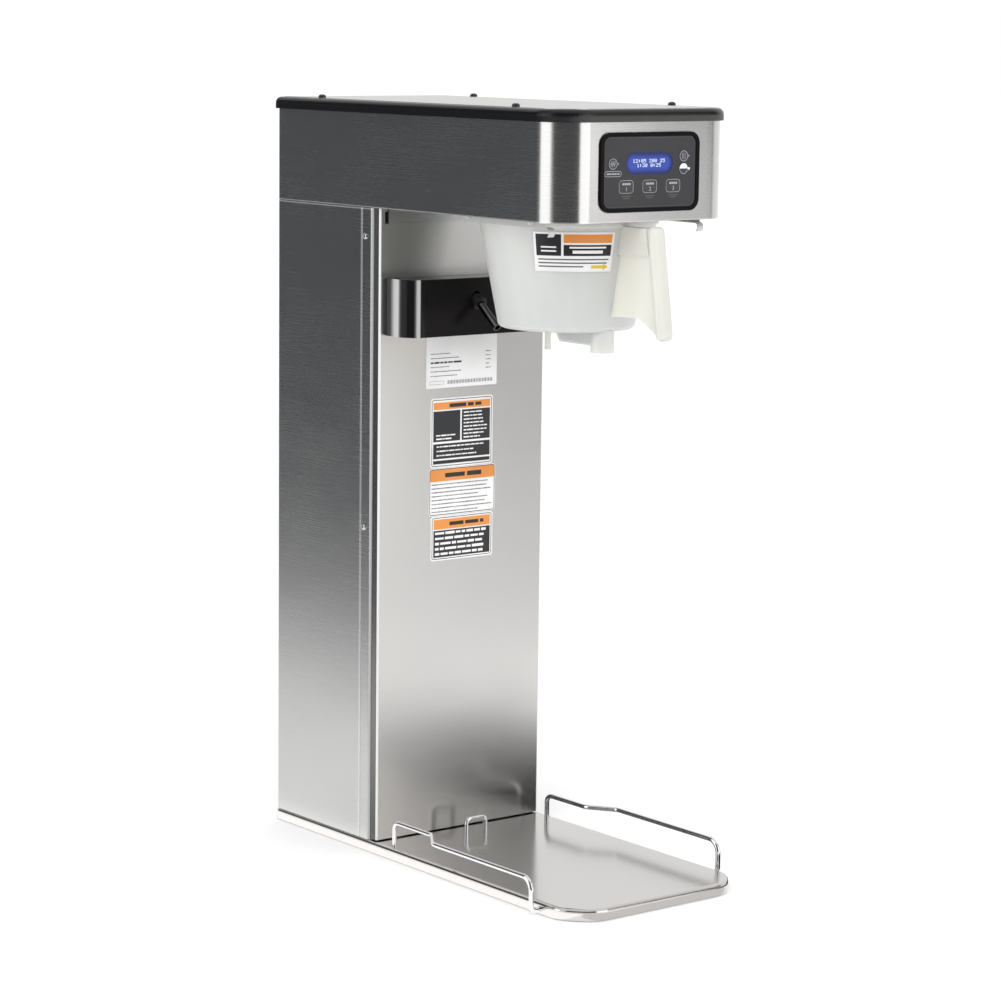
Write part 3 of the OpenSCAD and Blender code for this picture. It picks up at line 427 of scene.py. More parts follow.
@dataclass(frozen=True)
class GlossPlastic(Finish):
    """Smooth moulded plastic with a clear shine and hairline wipe marks."""

    coat: float = 0.5
    shine: float = 0.5

    def dress(self, graph: Graph, shader: Node) -> None:
        """Adds a coat, a faint orange peel and wipe marks."""
        graph.put(shader, {
            "Specular IOR Level": self.shine, "Coat Weight": self.coat, "Coat Roughness": 0.06})
        peel = graph.noise((240, 240, 240), detail=2.0)
        wipes = graph.noise((30, 30, 300), detail=3.0)
        self.tint(graph, shader, wipes, 0.85, 1.2)
        self.roughen(graph, shader, wipes, 0.03, 0.07)
        graph.bump(shader, peel, 0.05, 0.0003)


@dataclass(frozen=True)
class CornerSheen(GlossPlastic):
    """Gloss plastic with a painted highlight on its upright sides and rounded corners.

    The highlight is painted pale into the colour. It is whole in front of the first Y of its fade and faint
    behind the second. A stop is how far the surface is turned to the side, and how pale the painted highlight
    is there.
    """

    fades: Point2 = (0.0, 1.0)

    STOPS = ((0.0, 0.0), (0.26, 0.0), (0.31, 0.50), (0.43, 0.46), (0.53, 0.06), (0.60, 0.0), (0.955, 0.0),
             (0.985, 0.05), (0.997, 0.17), (1.0, 0.54))
    FAINT = 0.12

    def dress(self, graph: Graph, shader: Node) -> None:
        """Paints the highlight into the colour by how far the surface is turned to the side."""
        super().dress(graph, shader)
        turned = graph.math("ABSOLUTE", graph.turned().outputs["X"])
        ramp = graph.add("ShaderNodeValToRGB")
        stops = ramp.color_ramp.elements
        while len(stops) < len(self.STOPS):
            stops.new(0.5)
        for stop, (place, pale) in zip(stops, self.STOPS):
            stop.position = place
            stop.color = tuple(max(part, pale) for part in self.colour) + (1.0,)
        graph.link(turned, ramp.inputs["Fac"])
        # The painted highlight fades to faint towards the cover's rear.
        near = graph.spread(graph.split(graph.object_point()).outputs["Y"], 1.0, self.FAINT, *self.fades)
        graph.link(graph.blend(near, self.colour, ramp.outputs["Color"]), shader.inputs["Base Color"])


@dataclass(frozen=True)
class PebbledRim(Finish):
    """Moulded rim with a pebbled band at its foot and a smooth upper roll.

    The band's pebbles are coarse and bright on the front, and fine and dull on the sides.
    """

    foot: float = 0.0
    band: float = 0.006

    PEBBLES = 900.0
    FINE = 0.12

    def dress(self, graph: Graph, shader: Node) -> None:
        """Adds pebbles that fade out above the band."""
        front = graph.spread(graph.math("ABSOLUTE", graph.turned().outputs["Y"]), 0.0, 1.0, 0.3, 0.9)
        height = graph.split(graph.object_point()).outputs["Z"]
        fade = graph.spread(height, 1.0, self.FINE, self.foot + self.band * 0.8, self.foot + self.band * 1.3)
        pebbles = graph.add("ShaderNodeTexVoronoi", {"Scale": self.PEBBLES})
        graph.link(graph.object_point(), pebbles.inputs["Vector"])
        coarse = graph.math("MULTIPLY", fade, front)
        graph.bump(shader, graph.math("MULTIPLY", pebbles.outputs["Distance"], coarse), 0.6, 0.0008)
        dull = graph.math("SUBTRACT", 0.3, graph.math("MULTIPLY", fade, 0.18))
        shine = graph.math("ADD", dull, graph.math("MULTIPLY", coarse, 0.9))
        graph.link(shine, shader.inputs["Specular IOR Level"])
        rough = graph.spread(fade, self.roughness - 0.12, self.roughness + 0.1, 0, 1)
        graph.link(rough, shader.inputs["Roughness"])
        self.tint(graph, shader, pebbles.outputs["Distance"], 0.8, 1.3)


@dataclass(frozen=True)
class GrainedFilm(Finish):
    """Matt film with a fine velvet grain, as on a key membrane."""

    def dress(self, graph: Graph, shader: Node) -> None:
        """Adds the velvet grain and a slow change of tone."""
        grain = graph.noise((2600, 2600, 2600), detail=1.0)
        slow = graph.noise((14, 14, 14), detail=1.0)
        self.tint(graph, shader, slow, 0.88, 1.12)
        self.roughen(graph, shader, grain, 0.06, 0.06)
        graph.bump(shader, grain, 0.15, 0.0001)


@dataclass(frozen=True)
class GlowFilm(Finish):
    """A film lit from behind, which can fade towards the edge of a stadium."""

    glow: float = 1.0
    centre: Point2 = (0.0, 0.0)
    size: Point2 = (0.0, 0.0)

    def dress(self, graph: Graph, shader: Node) -> None:
        """Adds the light and, where a size is given, its fall towards the edge."""
        graph.put(shader, {
            "Base Color": (0.005, 0.006, 0.01, 1.0), "Specular IOR Level": 0.2,
            "Emission Strength": self.glow, "Emission Color": (*self.colour, 1.0)})
        if self.size[1]:
            width, height = self.size
            point = graph.split(graph.object_point())
            across = graph.math("ABSOLUTE", graph.math("SUBTRACT", point.outputs["X"], self.centre[0]))
            past = graph.math("MAXIMUM", graph.math("SUBTRACT", across, (width - height) / 2), 0.0)
            rise = graph.math("SUBTRACT", point.outputs["Z"], self.centre[1])
            squares = graph.math("ADD", graph.math("POWER", past, 2.0), graph.math("MULTIPLY", rise, rise))
            away = graph.math("SQRT", squares)
            fall = graph.spread(away, 0.7, 0.3, height * 0.25, height * 0.5)
            graph.link(graph.tones(fall, self.colour, 0.34, 1.0), shader.inputs["Emission Color"])
        haze = graph.noise((400, 400, 400))
        self.roughen(graph, shader, haze, 0.03, 0.03)


@dataclass(frozen=True)
class CircuitBoard(Finish):
    """Green lacquered board with paler tracks."""

    def dress(self, graph: Graph, shader: Node) -> None:
        """Adds the tracks as a brick pattern."""
        turned = graph.add("ShaderNodeMapping", {"Rotation": (math.pi / 2, 0.0, 0.0)})
        graph.link(graph.object_point(), turned.inputs["Vector"])
        tracks = graph.add("ShaderNodeTexBrick", {
            "Color1": (*self.colour, 1.0), "Color2": tuple(part * 0.8 for part in self.colour) + (1.0,),
            "Mortar": (0.25, 0.5, 0.25, 1.0), "Scale": 90.0, "Mortar Size": 0.03})
        graph.link(turned.outputs["Vector"], tracks.inputs["Vector"])
        graph.link(tracks.outputs["Color"], shader.inputs["Base Color"])
        graph.bump(shader, tracks.outputs["Fac"], 0.2, 0.0002)


STEEL = BrushedSteel("trunk_steel", (0.53, 0.527, 0.522), 0.25)
# The front panel's steel has a painted highlight on its folds and painted shade on its flanks, darker towards
# the foot.
PANEL_STEEL = FoldedSteel("front_panel_steel", (0.565, 0.557, 0.545), 0.23, anisotropy=0.5, grain=0.014,
                          relief=0.004, fold_tone=0.8, flank_foot=0.15)
DECK_STEEL = BrushedSteel("deck_steel", (0.60, 0.58, 0.565), 0.16, run=BrushRun.CROSSWISE, anisotropy=0.35)
TOP_STEEL = BrushedSteel("top_steel", (0.60, 0.595, 0.585), 0.32, run=BrushRun.CROSSWISE, anisotropy=0.5)
INNER_STEEL = BrushedSteel("inner_steel", (0.52, 0.51, 0.50), 0.36, grain=0.12, relief=0.1)
RAIL_METAL = SatinMetal("rail_metal", (0.62, 0.615, 0.60), 0.42)
WIRE = DrawnMetal("polished_wire", (0.76, 0.76, 0.77), 0.09)
SCREW_METAL = DrawnMetal("screw_metal", (0.70, 0.69, 0.68), 0.20)
TUBE_METAL = DrawnMetal("tube_metal", (0.62, 0.61, 0.60), 0.22)
OUTLET_METAL = DrawnMetal("outlet_metal", (0.13, 0.125, 0.125), 0.16)
ELEMENT_METAL = DrawnMetal("element_metal", (0.42, 0.40, 0.38), 0.38)
BRASS = DrawnMetal("inlet_brass", (0.68, 0.50, 0.22), 0.26)
MILKY = MilkyPlastic("milky_plastic", (0.715, 0.715, 0.67), 0.38)
RUBBER = Finish("rubber_black", (0.022, 0.022, 0.023), 0.75)
GROMMET_RUBBER = Finish("grommet_rubber", (0.006, 0.006, 0.007), 0.6)
GASKET = Finish("gasket_silicone", (0.45, 0.16, 0.10), 0.6)
HOSE = MilkyPlastic("clear_hose", (0.74, 0.74, 0.70), 0.3)
ROCKER_BLACK = GlossPlastic("rocker_black", (0.012, 0.012, 0.013), 0.2)
BEZEL_BLACK = GlossPlastic("bezel_black", (0.008, 0.008, 0.009), 0.3, coat=0.0, shine=0.04)
PART_BLACK = GlossPlastic("moulded_black", (0.016, 0.016, 0.017), 0.34, coat=0.1)
VALVE_PLASTIC = GlossPlastic("valve_body", (0.62, 0.61, 0.55), 0.35, coat=0.1)
NYLON = GlossPlastic("board_post_nylon", (0.75, 0.74, 0.70), 0.4, coat=0.0)
MEMBRANE = GrainedFilm("key_membrane", (0.020, 0.020, 0.023), 0.42)
KEY_FILM = GrainedFilm("key_film", (0.034, 0.034, 0.038), 0.38)
BOARD = CircuitBoard("circuit_board", (0.02, 0.16, 0.07), 0.35)
PAPER = GrainedFilm("card_white", (0.95, 0.95, 0.945), 0.4)
INK_DARK = GrainedFilm("card_dark_ink", (0.014, 0.015, 0.018), 0.5)
INK_GREY = GrainedFilm("card_grey_ink", (0.13, 0.135, 0.15), 0.45)
INK_ORANGE = GrainedFilm("card_orange_ink", (0.86, 0.30, 0.045), 0.4)
INK_YELLOW = GrainedFilm("card_yellow_ink", (0.80, 0.56, 0.03), 0.4)
PRINT_SILVER = GrainedFilm("membrane_silver_print", (0.45, 0.46, 0.50), 0.4)
PRINT_FAINT = GrainedFilm("membrane_faint_print", (0.11, 0.11, 0.12), 0.4)
LAMP_GLOW = GlowFilm("lamp_glow", (0.85, 0.95, 1.0), 0.2, glow=1.1)
PIXEL_GLOW = GlowFilm("pixel_glow", (0.80, 0.88, 1.0), 0.3, glow=1.25)
HALO_GLOW = GlowFilm("halo_glow", (0.02, 0.03, 0.12), 0.3)


def dress_nodes(finish: Finish, *nodes: str) -> None:
    """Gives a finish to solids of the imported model.

    Args:
        finish: The finish that the solids get.
        *nodes: The solids' names.
    """
    for node in nodes:
        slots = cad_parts[node].data.materials
        slots.clear()
        slots.append(finish.material())


def hemmed(name: str, fold_tone: float, *hems: tuple[str, float, float]) -> FoldedSteel:
    """Returns the casing's steel with a painted highlight line along each hem.

    Args:
        name: The finish's name.
        fold_tone: How pale the painted highlight on the folds is, or 0 for none.
        *hems: Axis, start and end of each hem's painted highlight line.
    """
    return FoldedSteel(name, STEEL.colour, STEEL.roughness, fold_tone=fold_tone, hems=hems)


def add_object(name: str, content: bpy.types.ID) -> bpy.types.Object:
    """Returns a new object in the scene that shows a mesh, curve, lamp or camera."""
    item = bpy.data.objects.new(name, content)
    bpy.context.scene.collection.objects.link(item)
    return item


def settle(name: str, mesh: Mesh, body: str, replaced: Sequence[str] = ()) -> None:
    """Adds a finished mesh as a piece that rides on a body.

    Args:
        name: The piece's name.
        mesh: The mesh, placed in the model's frame.
        body: The body that carries the piece.
        replaced: Solids that the piece stands for.
    """
    piece = add_object(name, mesh)
    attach(piece, body)
    if replaced:
        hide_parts(*replaced)
    LOG.info("%s: %d faces on %s", name, len(mesh.polygons), body)


def oval(width: float, height: float, radius: float, centre: Point2 = (0.0, 0.0), steps: int = 7) -> Outline:
    """Returns a rounded rectangle's outline, anticlockwise seen from the front.

    Args:
        width: Size along X.
        height: Size along Z.
        radius: Corner radius.
        centre: Middle of the shape.
        steps: Points on each corner.
    """
    points = []
    for turn, (side, rise) in enumerate(((1, 1), (-1, 1), (-1, -1), (1, -1))):
        for step in range(steps):
            angle = math.pi / 2 * (turn + step / (steps - 1))
            points.append((centre[0] + side * (width / 2 - radius) + radius * math.cos(angle),
                           centre[1] + rise * (height / 2 - radius) + radius * math.sin(angle)))
    return points


def arc(radius: float, centre: Point2, start: float, end: float, steps: int = 24) -> Outline:
    """Returns points on an arc from start to end degrees, anticlockwise seen from the front."""
    turns = [math.radians(start + (end - start) * step / steps) for step in range(steps + 1)]
    return [(centre[0] + radius * math.cos(turn), centre[1] + radius * math.sin(turn)) for turn in turns]


def circle(radius: float, centre: Point2) -> Outline:
    """Returns a circle's outline."""
    return arc(radius, centre, 0, 360)[:-1]


def close_shape(name: str, shape: bmesh.types.BMesh, finish: Finish, body: str) -> None:
    """Turns a gathered shape into a piece.

    Args:
        name: The piece's name.
        shape: The shape, which is freed.
        finish: Its finish.
        body: The body that carries it.
    """
    bmesh.ops.recalc_face_normals(shape, faces=shape.faces[:])
    mesh = bpy.data.meshes.new(name)
    shape.to_mesh(mesh)
    shape.free()
    mesh.materials.append(finish.material())
    settle(name, mesh, body)


class FrontPrint:
    """Thin shapes on a face that looks to the front, gathered into one mesh."""

    def __init__(self, face_y: float, lift: float = 0.00006) -> None:
        """Starts an empty print.

        Args:
            face_y: Y of the face that carries the print.
            lift: How far the print stands proud.
        """
        self.face_y = face_y
        self.lift = lift
        self.mesh = bmesh.new()

    def loop(self, outline: Outline, y: float) -> list[bmesh.types.BMVert]:
        """Adds an outline's points at a depth and returns them."""
        return [self.mesh.verts.new((x, y, z)) for x, z in outline]

    def plate(self, outline: Outline) -> None:
        """Adds a filled shape."""
        front = self.loop(outline, self.face_y - self.lift)
        back = self.loop(outline, self.face_y + self.lift)
        self.mesh.faces.new(front)
        self.mesh.faces.new(back[::-1])
        for here in range(len(front)):
            there = (here + 1) % len(front)
            self.mesh.faces.new((front[here], back[here], back[there], front[there]))

    def ring(self, outer: Outline, inner: Outline) -> None:
        """Adds the band between two outlines that have as many points."""
        near, far = self.face_y - self.lift, self.face_y + self.lift
        loops = [self.loop(outer, near), self.loop(outer, far), self.loop(inner, far), self.loop(inner, near)]
        for here in range(len(outer)):
            there = (here + 1) % len(outer)
            for side in range(4):
                one, two = loops[side], loops[(side + 1) % 4]
                self.mesh.faces.new((one[here], two[here], two[there], one[there]))

    def frame(self, width: float, height: float, radius: float, line: float, centre: Point2) -> None:
        """Adds a rounded frame.

        Args:
            width: Outer size along X.
            height: Outer size along Z.
            radius: Outer corner radius.
            line: Width of the line.
            centre: Middle of the frame.
        """
        inner = oval(width - 2 * line, height - 2 * line, max(radius - line, 0.0001), centre)
        self.ring(oval(width, height, radius, centre), inner)

    def hoop(self, radius: float, line: float, centre: Point2) -> None:
        """Adds a circular line inside a radius."""
        self.ring(circle(radius, centre), circle(radius - line, centre))

    def bar(self, left: float, right: float, low: float, high: float) -> None:
        """Adds a filled rectangle."""
        self.plate([(left, low), (right, low), (right, high), (left, high)])

    def stroke(self, points: Outline, line: float) -> None:
        """Adds an open line of even width along some points."""
        left, right = [], []
        for place, point in enumerate(points):
            before = Vector(points[max(place - 1, 0)])
            after = Vector(points[min(place + 1, len(points) - 1)])
            across = (after - before).normalized().orthogonal() * line / 2
            left.append((point[0] + across.x, point[1] + across.y))
            right.append((point[0] - across.x, point[1] - across.y))
        self.plate(right + left[::-1])

    def done(self, name: str, finish: Finish, body: str) -> None:
        """Closes the print.

        Args:
            name: The piece's name.
            finish: Its finish.
            body: The body that carries it.
        """
        close_shape(name, self.mesh, finish, body)


class GrowingTree:
    """A Geometry Nodes tree with named inputs, run once on a plain mesh."""

    def __init__(self, name: str, inputs: dict[str, str]) -> None:
        """Makes the tree's shell.

        Args:
            name: The tree's name.
            inputs: Socket type by input name.
        """
        self.tree = bpy.data.node_groups.new(name, "GeometryNodeTree")
        self.tree.interface.new_socket("Seats", in_out="INPUT", socket_type="NodeSocketGeometry")
        for label, kind in inputs.items():
            self.tree.interface.new_socket(label, in_out="INPUT", socket_type=kind)
        self.tree.interface.new_socket("Piece", in_out="OUTPUT", socket_type="NodeSocketGeometry")
        self.graph = Graph(self.tree)
        self.inputs = self.graph.add("NodeGroupInput").outputs

    def close(self, shape: Socket, **fits: Socket) -> None:
        """Puts a shape on every seat and ends the tree in real geometry with its material.

        Args:
            shape: The shape's mesh socket.
            **fits: Sockets for the instances' Rotation or Scale.
        """
        graph = self.graph
        seats = graph.add("GeometryNodeInstanceOnPoints")
        graph.link(self.inputs["Seats"], seats.inputs["Points"])
        graph.link(shape, seats.inputs["Instance"])
        for label, fit in fits.items():
            graph.link(fit, seats.inputs[label])
        real = graph.add("GeometryNodeRealizeInstances")
        graph.link(seats.outputs["Instances"], real.inputs["Geometry"])
        paint = graph.add("GeometryNodeSetMaterial")
        graph.link(real.outputs["Geometry"], paint.inputs["Geometry"])
        graph.link(self.inputs["Finish"], paint.inputs["Material"])
        graph.end("NodeGroupOutput", paint.outputs["Geometry"])

    def grow(self, name: str, seats: Mesh, values: dict) -> Mesh:
        """Runs the tree and returns its result as a plain mesh.

        Args:
            name: The result's name.
            seats: The mesh of points that it grows on.
            values: Values by input name.

        Returns:
            The plain mesh.
        """
        holder = add_object(name + "_seats", seats)
        modifier = holder.modifiers.new("grow", "NODES")
        modifier.node_group = self.tree
        sockets = {item.name: item.identifier
                   for item in self.tree.interface.items_tree if item.in_out == "INPUT"}
        for label, value in values.items():
            modifier[sockets[label]] = value
        bpy.context.view_layer.update()
        grown = holder.evaluated_get(bpy.context.evaluated_depsgraph_get())
        mesh = bpy.data.meshes.new_from_object(grown)
        mesh.name = name
        holder.modifiers.clear()
        bpy.data.objects.remove(holder)
        return mesh


def seat_mesh(name: str, points: Sequence[Vector], label: str, kind: str, values: Sequence) -> Mesh:
    """Makes loose points that carry one attribute.

    Args:
        name: The mesh's name.
        points: The points.
        label: The attribute's name.
        kind: FLOAT or FLOAT_VECTOR.
        values: The attribute's value at each point.

    Returns:
        The mesh.
    """
    mesh = bpy.data.meshes.new(name)
    mesh.from_pydata([tuple(point) for point in points], [], [])
    attribute = mesh.attributes.new(label, kind, "POINT")
    for item, value in zip(attribute.data, values):
        if kind == "FLOAT":
            item.value = value
        else:
            item.vector = value
    return mesh


def corner_seats(across: float, levels: Point2, height: float, way: float) -> list[tuple[Vector, Vector]]:
    """Returns foot and aim of four screws on a level face.

    Args:
        across: X of the right-hand screws.
        levels: Y of the front and the rear screws.
        height: Z of the face.
        way: 1 if the heads look up and -1 if they look down.
    """
    return [(Vector((side * across, level, height)), Vector((0.0, 0.0, way)))
            for side in (-1.0, 1.0) for level in levels]


@dataclass
class ScrewHeads:
    """Pan-head screws with a cross recess, each turned by chance about its own axis."""

    radius: float
    height: float
    finish: Finish
    seed: int = 4

    CROWN = 0.55
    RECESS_LENGTH = 1.15
    RECESS_WIDTH = 0.26
    RECESS_RISE = 0.95

    def tree(self) -> GrowingTree:
        """Returns the tree that grows a head on each seat, along the seat's aim."""
        build = GrowingTree("screw_heads", {
            "Radius": "NodeSocketFloat", "Height": "NodeSocketFloat", "Recess Width": "NodeSocketFloat",
            "Seed": "NodeSocketInt", "Finish": "NodeSocketMaterial"})
        graph, inputs = build.graph, build.inputs
        radius, height = inputs["Radius"], inputs["Height"]
        ball = graph.add("GeometryNodeMeshUVSphere", {"Segments": 24, "Rings": 16, "Radius": 1.0})
        point = graph.split(graph.add("GeometryNodeInputPosition").outputs[0]).outputs
        crown = graph.math("POWER", graph.math("MAXIMUM", point["Z"], 0.0), self.CROWN)
        shape = graph.vector(graph.math("MULTIPLY", point["X"], radius),
                             graph.math("MULTIPLY", point["Y"], radius),
                             graph.math("MULTIPLY", crown, height))
        dome = graph.add("GeometryNodeSetPosition")
        graph.link(ball.outputs["Mesh"], dome.inputs["Geometry"])
        graph.link(shape, dome.inputs["Position"])
        length = graph.math("MULTIPLY", radius, self.RECESS_LENGTH)
        slot_size = graph.vector(length, inputs["Recess Width"], height)
        lift = graph.vector(0.0, 0.0, graph.math("MULTIPLY", height, self.RECESS_RISE))
        cut = graph.add("GeometryNodeMeshBoolean", operation="DIFFERENCE")
        graph.link(dome.outputs["Geometry"], cut.inputs["Mesh 1"])
        for turn in (0.0, math.pi / 2):
            arm = graph.add("GeometryNodeMeshCube")
            graph.link(slot_size, arm.inputs["Size"])
            move = graph.add("GeometryNodeTransform", {"Rotation": (0.0, 0.0, turn)})
            graph.link(arm.outputs["Mesh"], move.inputs["Geometry"])
            graph.link(lift, move.inputs["Translation"])
            graph.link(move.outputs["Geometry"], cut.inputs["Mesh 2"])
        aim = graph.add("GeometryNodeInputNamedAttribute", {"Name": "aim"}, data_type="FLOAT_VECTOR")
        stand = graph.add("FunctionNodeAlignRotationToVector", axis="Z")
        graph.link(aim.outputs[0], stand.inputs["Vector"])
        chance = graph.add("FunctionNodeRandomValue", {"Min": Vector(), "Max": Vector((0.0, 0.0, 3.14159))},
                           data_type="FLOAT_VECTOR")
        graph.link(inputs["Seed"], chance.inputs["Seed"])
        spin = graph.add("FunctionNodeEulerToRotation")
        graph.link(chance.outputs[0], spin.inputs[0])
        turned = graph.add("FunctionNodeRotateRotation", rotation_space="LOCAL")
        graph.link(stand.outputs[0], turned.inputs["Rotation"])
        graph.link(spin.outputs[0], turned.inputs["Rotate By"])
        build.close(cut.outputs["Mesh"], Rotation=turned.outputs[0])
        return build

    def place(self, name: str, seats: Sequence[tuple[Vector, Vector]], replaced: str) -> None:
        """Builds the heads and puts them in place of a solid.

        Args:
            name: The piece's name.
            seats: Foot point and outward direction of each screw.
            replaced: The solid that the heads stand for.
        """
        spots, aims = zip(*seats)
        points = seat_mesh(name, spots, "aim", "FLOAT_VECTOR", aims)
        mesh = self.tree().grow(name, points, {
            "Radius": self.radius, "Height": self.height, "Recess Width": self.radius * self.RECESS_WIDTH,
            "Seed": self.seed, "Finish": self.finish.material()})
        settle(name, mesh, HOUSING, [replaced])


@dataclass
class RuledRows:
    """Rows of printed dashes that stand for lines of print, with ragged right ends."""

    stroke: float
    finish: Finish
    ragged: float = 0.3
    seed: int = 7

    SHORTEST = 1.6
    LONGEST = 5.5
    GAP = 0.55
    LIFT = 0.00024
    UNEVEN = 0.25

    def tree(self) -> GrowingTree:
        """Returns the tree that grows a dash on each seat, as long as the seat's span."""
        build = GrowingTree("ruled_rows", {
            "Stroke": "NodeSocketFloat", "Lift": "NodeSocketFloat", "Uneven": "NodeSocketFloat",
            "Seed": "NodeSocketInt", "Finish": "NodeSocketMaterial"})
        graph, inputs = build.graph, build.inputs
        bar = graph.add("GeometryNodeMeshCube", {"Size": (1.0, 1.0, 1.0)})
        shift = graph.add("GeometryNodeTransform", {"Translation": (0.5, 0.0, 0.0)})
        graph.link(bar.outputs["Mesh"], shift.inputs["Geometry"])
        span = graph.add("GeometryNodeInputNamedAttribute", {"Name": "span"}, data_type="FLOAT")
        chance = graph.add("FunctionNodeRandomValue", data_type="FLOAT")
        graph.link(inputs["Seed"], chance.inputs["Seed"])
        thin = graph.math("SUBTRACT", 1.0, graph.math("MULTIPLY", chance.outputs[1], inputs["Uneven"]))
        stroke = graph.math("MULTIPLY", inputs["Stroke"], thin)
        build.close(shift.outputs["Geometry"], Scale=graph.vector(span.outputs[0], inputs["Lift"], stroke))
        return build

    def dashes(self, rows: Sequence[Four]) -> list[Four]:
        """Breaks each row into dashes with small gaps and a ragged end.

        Args:
            rows: Left end, face Y, height and span of each row.

        Returns:
            Left end, face Y, height and span of each dash.
        """
        chance = random.Random(self.seed)
        broken = []
        for left, face, level, span in rows:
            end = left + span * (1 - self.ragged * chance.random())
            while left < end - self.stroke:
                length = min(self.stroke * chance.uniform(self.SHORTEST, self.LONGEST), end - left)
                broken.append((left, face, level, length))
                left += length + self.stroke * self.GAP
        return broken

    def place(self, name: str, rows: Sequence[Four]) -> None:
        """Builds the rows.

        Args:
            name: The piece's name.
            rows: Left end, face Y, height and span of each row.
        """
        dashes = self.dashes(rows)
        starts = [Vector((left, face, level)) for left, face, level, _ in dashes]
        points = seat_mesh(name, starts, "span", "FLOAT", [dash[3] for dash in dashes])
        mesh = self.tree().grow(name, points, {
            "Stroke": self.stroke, "Lift": self.LIFT, "Uneven": self.UNEVEN, "Seed": self.seed,
            "Finish": self.finish.material()})
        settle(name, mesh, HOUSING)


@dataclass
class PixelRows:
    """Lit pixels of a dot display that shows plain numbers.

    A glyph has two hexadecimal figures for each row from the top, whose bits are its dots.
    """

    pitch: float = 0.634 * MM
    rise: float = 0.52 * MM
    dot: float = 0.54 * MM

    LIFT = 0.00016
    COLUMNS = 5
    ROWS = 7
    GLYPHS = {
        "0": "0E11131519110E", "1": "040C040404040E", "2": "0E11010204081F", "3": "1F02040201110E",
        "5": "1F101E0101110E", "7": "1F010204080808", ":": "000C0C000C0C00", " ": "00000000000000",
    }

    def dots(self, text: str) -> list[Point2]:
        """Returns the lit pixels of a row of digits, centred on the origin."""
        cell = self.COLUMNS + 1
        middle = (len(text) * cell - 2) / 2
        lit = []
        for place, sign in enumerate(text):
            code = self.GLYPHS[sign]
            for row in range(self.ROWS):
                bits = int(code[2 * row:2 * row + 2], 16)
                for column in range(self.COLUMNS):
                    if bits >> (self.COLUMNS - 1 - column) & 1:
                        across = place * cell + column - middle
                        lit.append((across * self.pitch, (self.ROWS // 2 - row) * self.rise))
        return lit

    def tree(self) -> GrowingTree:
        """Returns the tree that grows a square dot on each seat."""
        build = GrowingTree("pixel_rows", {
            "Dot": "NodeSocketFloat", "Lift": "NodeSocketFloat", "Finish": "NodeSocketMaterial"})
        graph, inputs = build.graph, build.inputs
        dot = graph.add("GeometryNodeMeshCube")
        graph.link(graph.vector(inputs["Dot"], inputs["Lift"], inputs["Dot"]), dot.inputs["Size"])
        build.close(dot.outputs["Mesh"])
        return build

    def place(self, name: str, face_y: float, rows: Sequence[tuple[str, Point2]]) -> None:
        """Builds the pixels.

        Args:
            name: The piece's name.
            face_y: Y of the display's face.
            rows: Text and centre of each row.
        """
        points = [Vector((centre[0] + dot[0], face_y, centre[1] + dot[1]))
                  for text, centre in rows for dot in self.dots(text)]
        mesh = self.tree().grow(name, seat_mesh(name, points, "span", "FLOAT", [1.0] * len(points)), {
            "Dot": self.dot, "Lift": self.LIFT, "Finish": PIXEL_GLOW.material()})
        settle(name, mesh, HOUSING)


@dataclass
class Base:
    """The tray on its rubber feet, with the two wire guides and the stop loop."""

    def build(self) -> None:
        """Dresses the tray, the feet and the wires."""
        dress_nodes(DECK_STEEL, "base_tray")
        dress_nodes(RUBBER, "rubber_feet")
        dress_nodes(WIRE, "left_guide", "right_guide", "stop_loop", "wire_clips")


@dataclass
class Trunk:
    """The upright trunk: front panel, corner strips, wrapped cover and its screws.

    Screws are given by their heights over the floor, and the painted highlight line along the hem under the
    trunk's top by how far down it starts and ends.
    """

    screw_radius: float = 3.5 * MM
    screw_height: float = 2.4 * MM
    side_screws: tuple[float, ...] = (0.7176, 0.3826)
    back_screws: tuple[float, ...] = (0.7256, 0.3823, 0.034)
    back_inset: float = 12.0 * MM
    seam_share: float = 0.68
    top_hem: Point2 = (1.9 * MM, 0.5 * MM)
    front_hem: float = 3.6 * MM

    def build(self) -> None:
        """Dresses the sheets, with painted highlight lines on their folds and hems and painted shade on the
        panel's flanks, and puts the screw heads in.
        """
        low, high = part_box("trunk_cover")
        top = ("Z", high[2] - self.top_hem[0], high[2] - self.top_hem[1])
        front = ("Y", low[1], low[1] + self.front_hem)
        # Painted highlight lines along the top hem, the corner posts' folds and the cover's front hem.
        dress_nodes(hemmed("post_steel", 0.45, top), "corner_posts")
        dress_nodes(hemmed("cover_steel", 0.0, top, front), "trunk_cover")
        dress_nodes(PANEL_STEEL, "front_panel")
        self.screws()

    def screws(self) -> None:
        """Puts pan heads on the side strips and along the back."""
        low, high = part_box("trunk_cover")
        strip_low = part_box("corner_posts")[0]
        seam = low[1] - strip_low[1]
        seats = []
        for side in (-1.0, 1.0):
            for level in self.side_screws:
                spot = Vector((side * high[0], strip_low[1] + self.seam_share * seam, level))
                seats.append((spot, Vector((side, 0.0, 0.0))))
            for level in self.back_screws:
                spot = Vector((side * (high[0] - self.back_inset), high[1], level))
                seats.append((spot, Vector((0.0, 1.0, 0.0))))
        heads = ScrewHeads(self.screw_radius, self.screw_height, SCREW_METAL)
        heads.place("trunk_screw_heads", seats, "trim_screws")


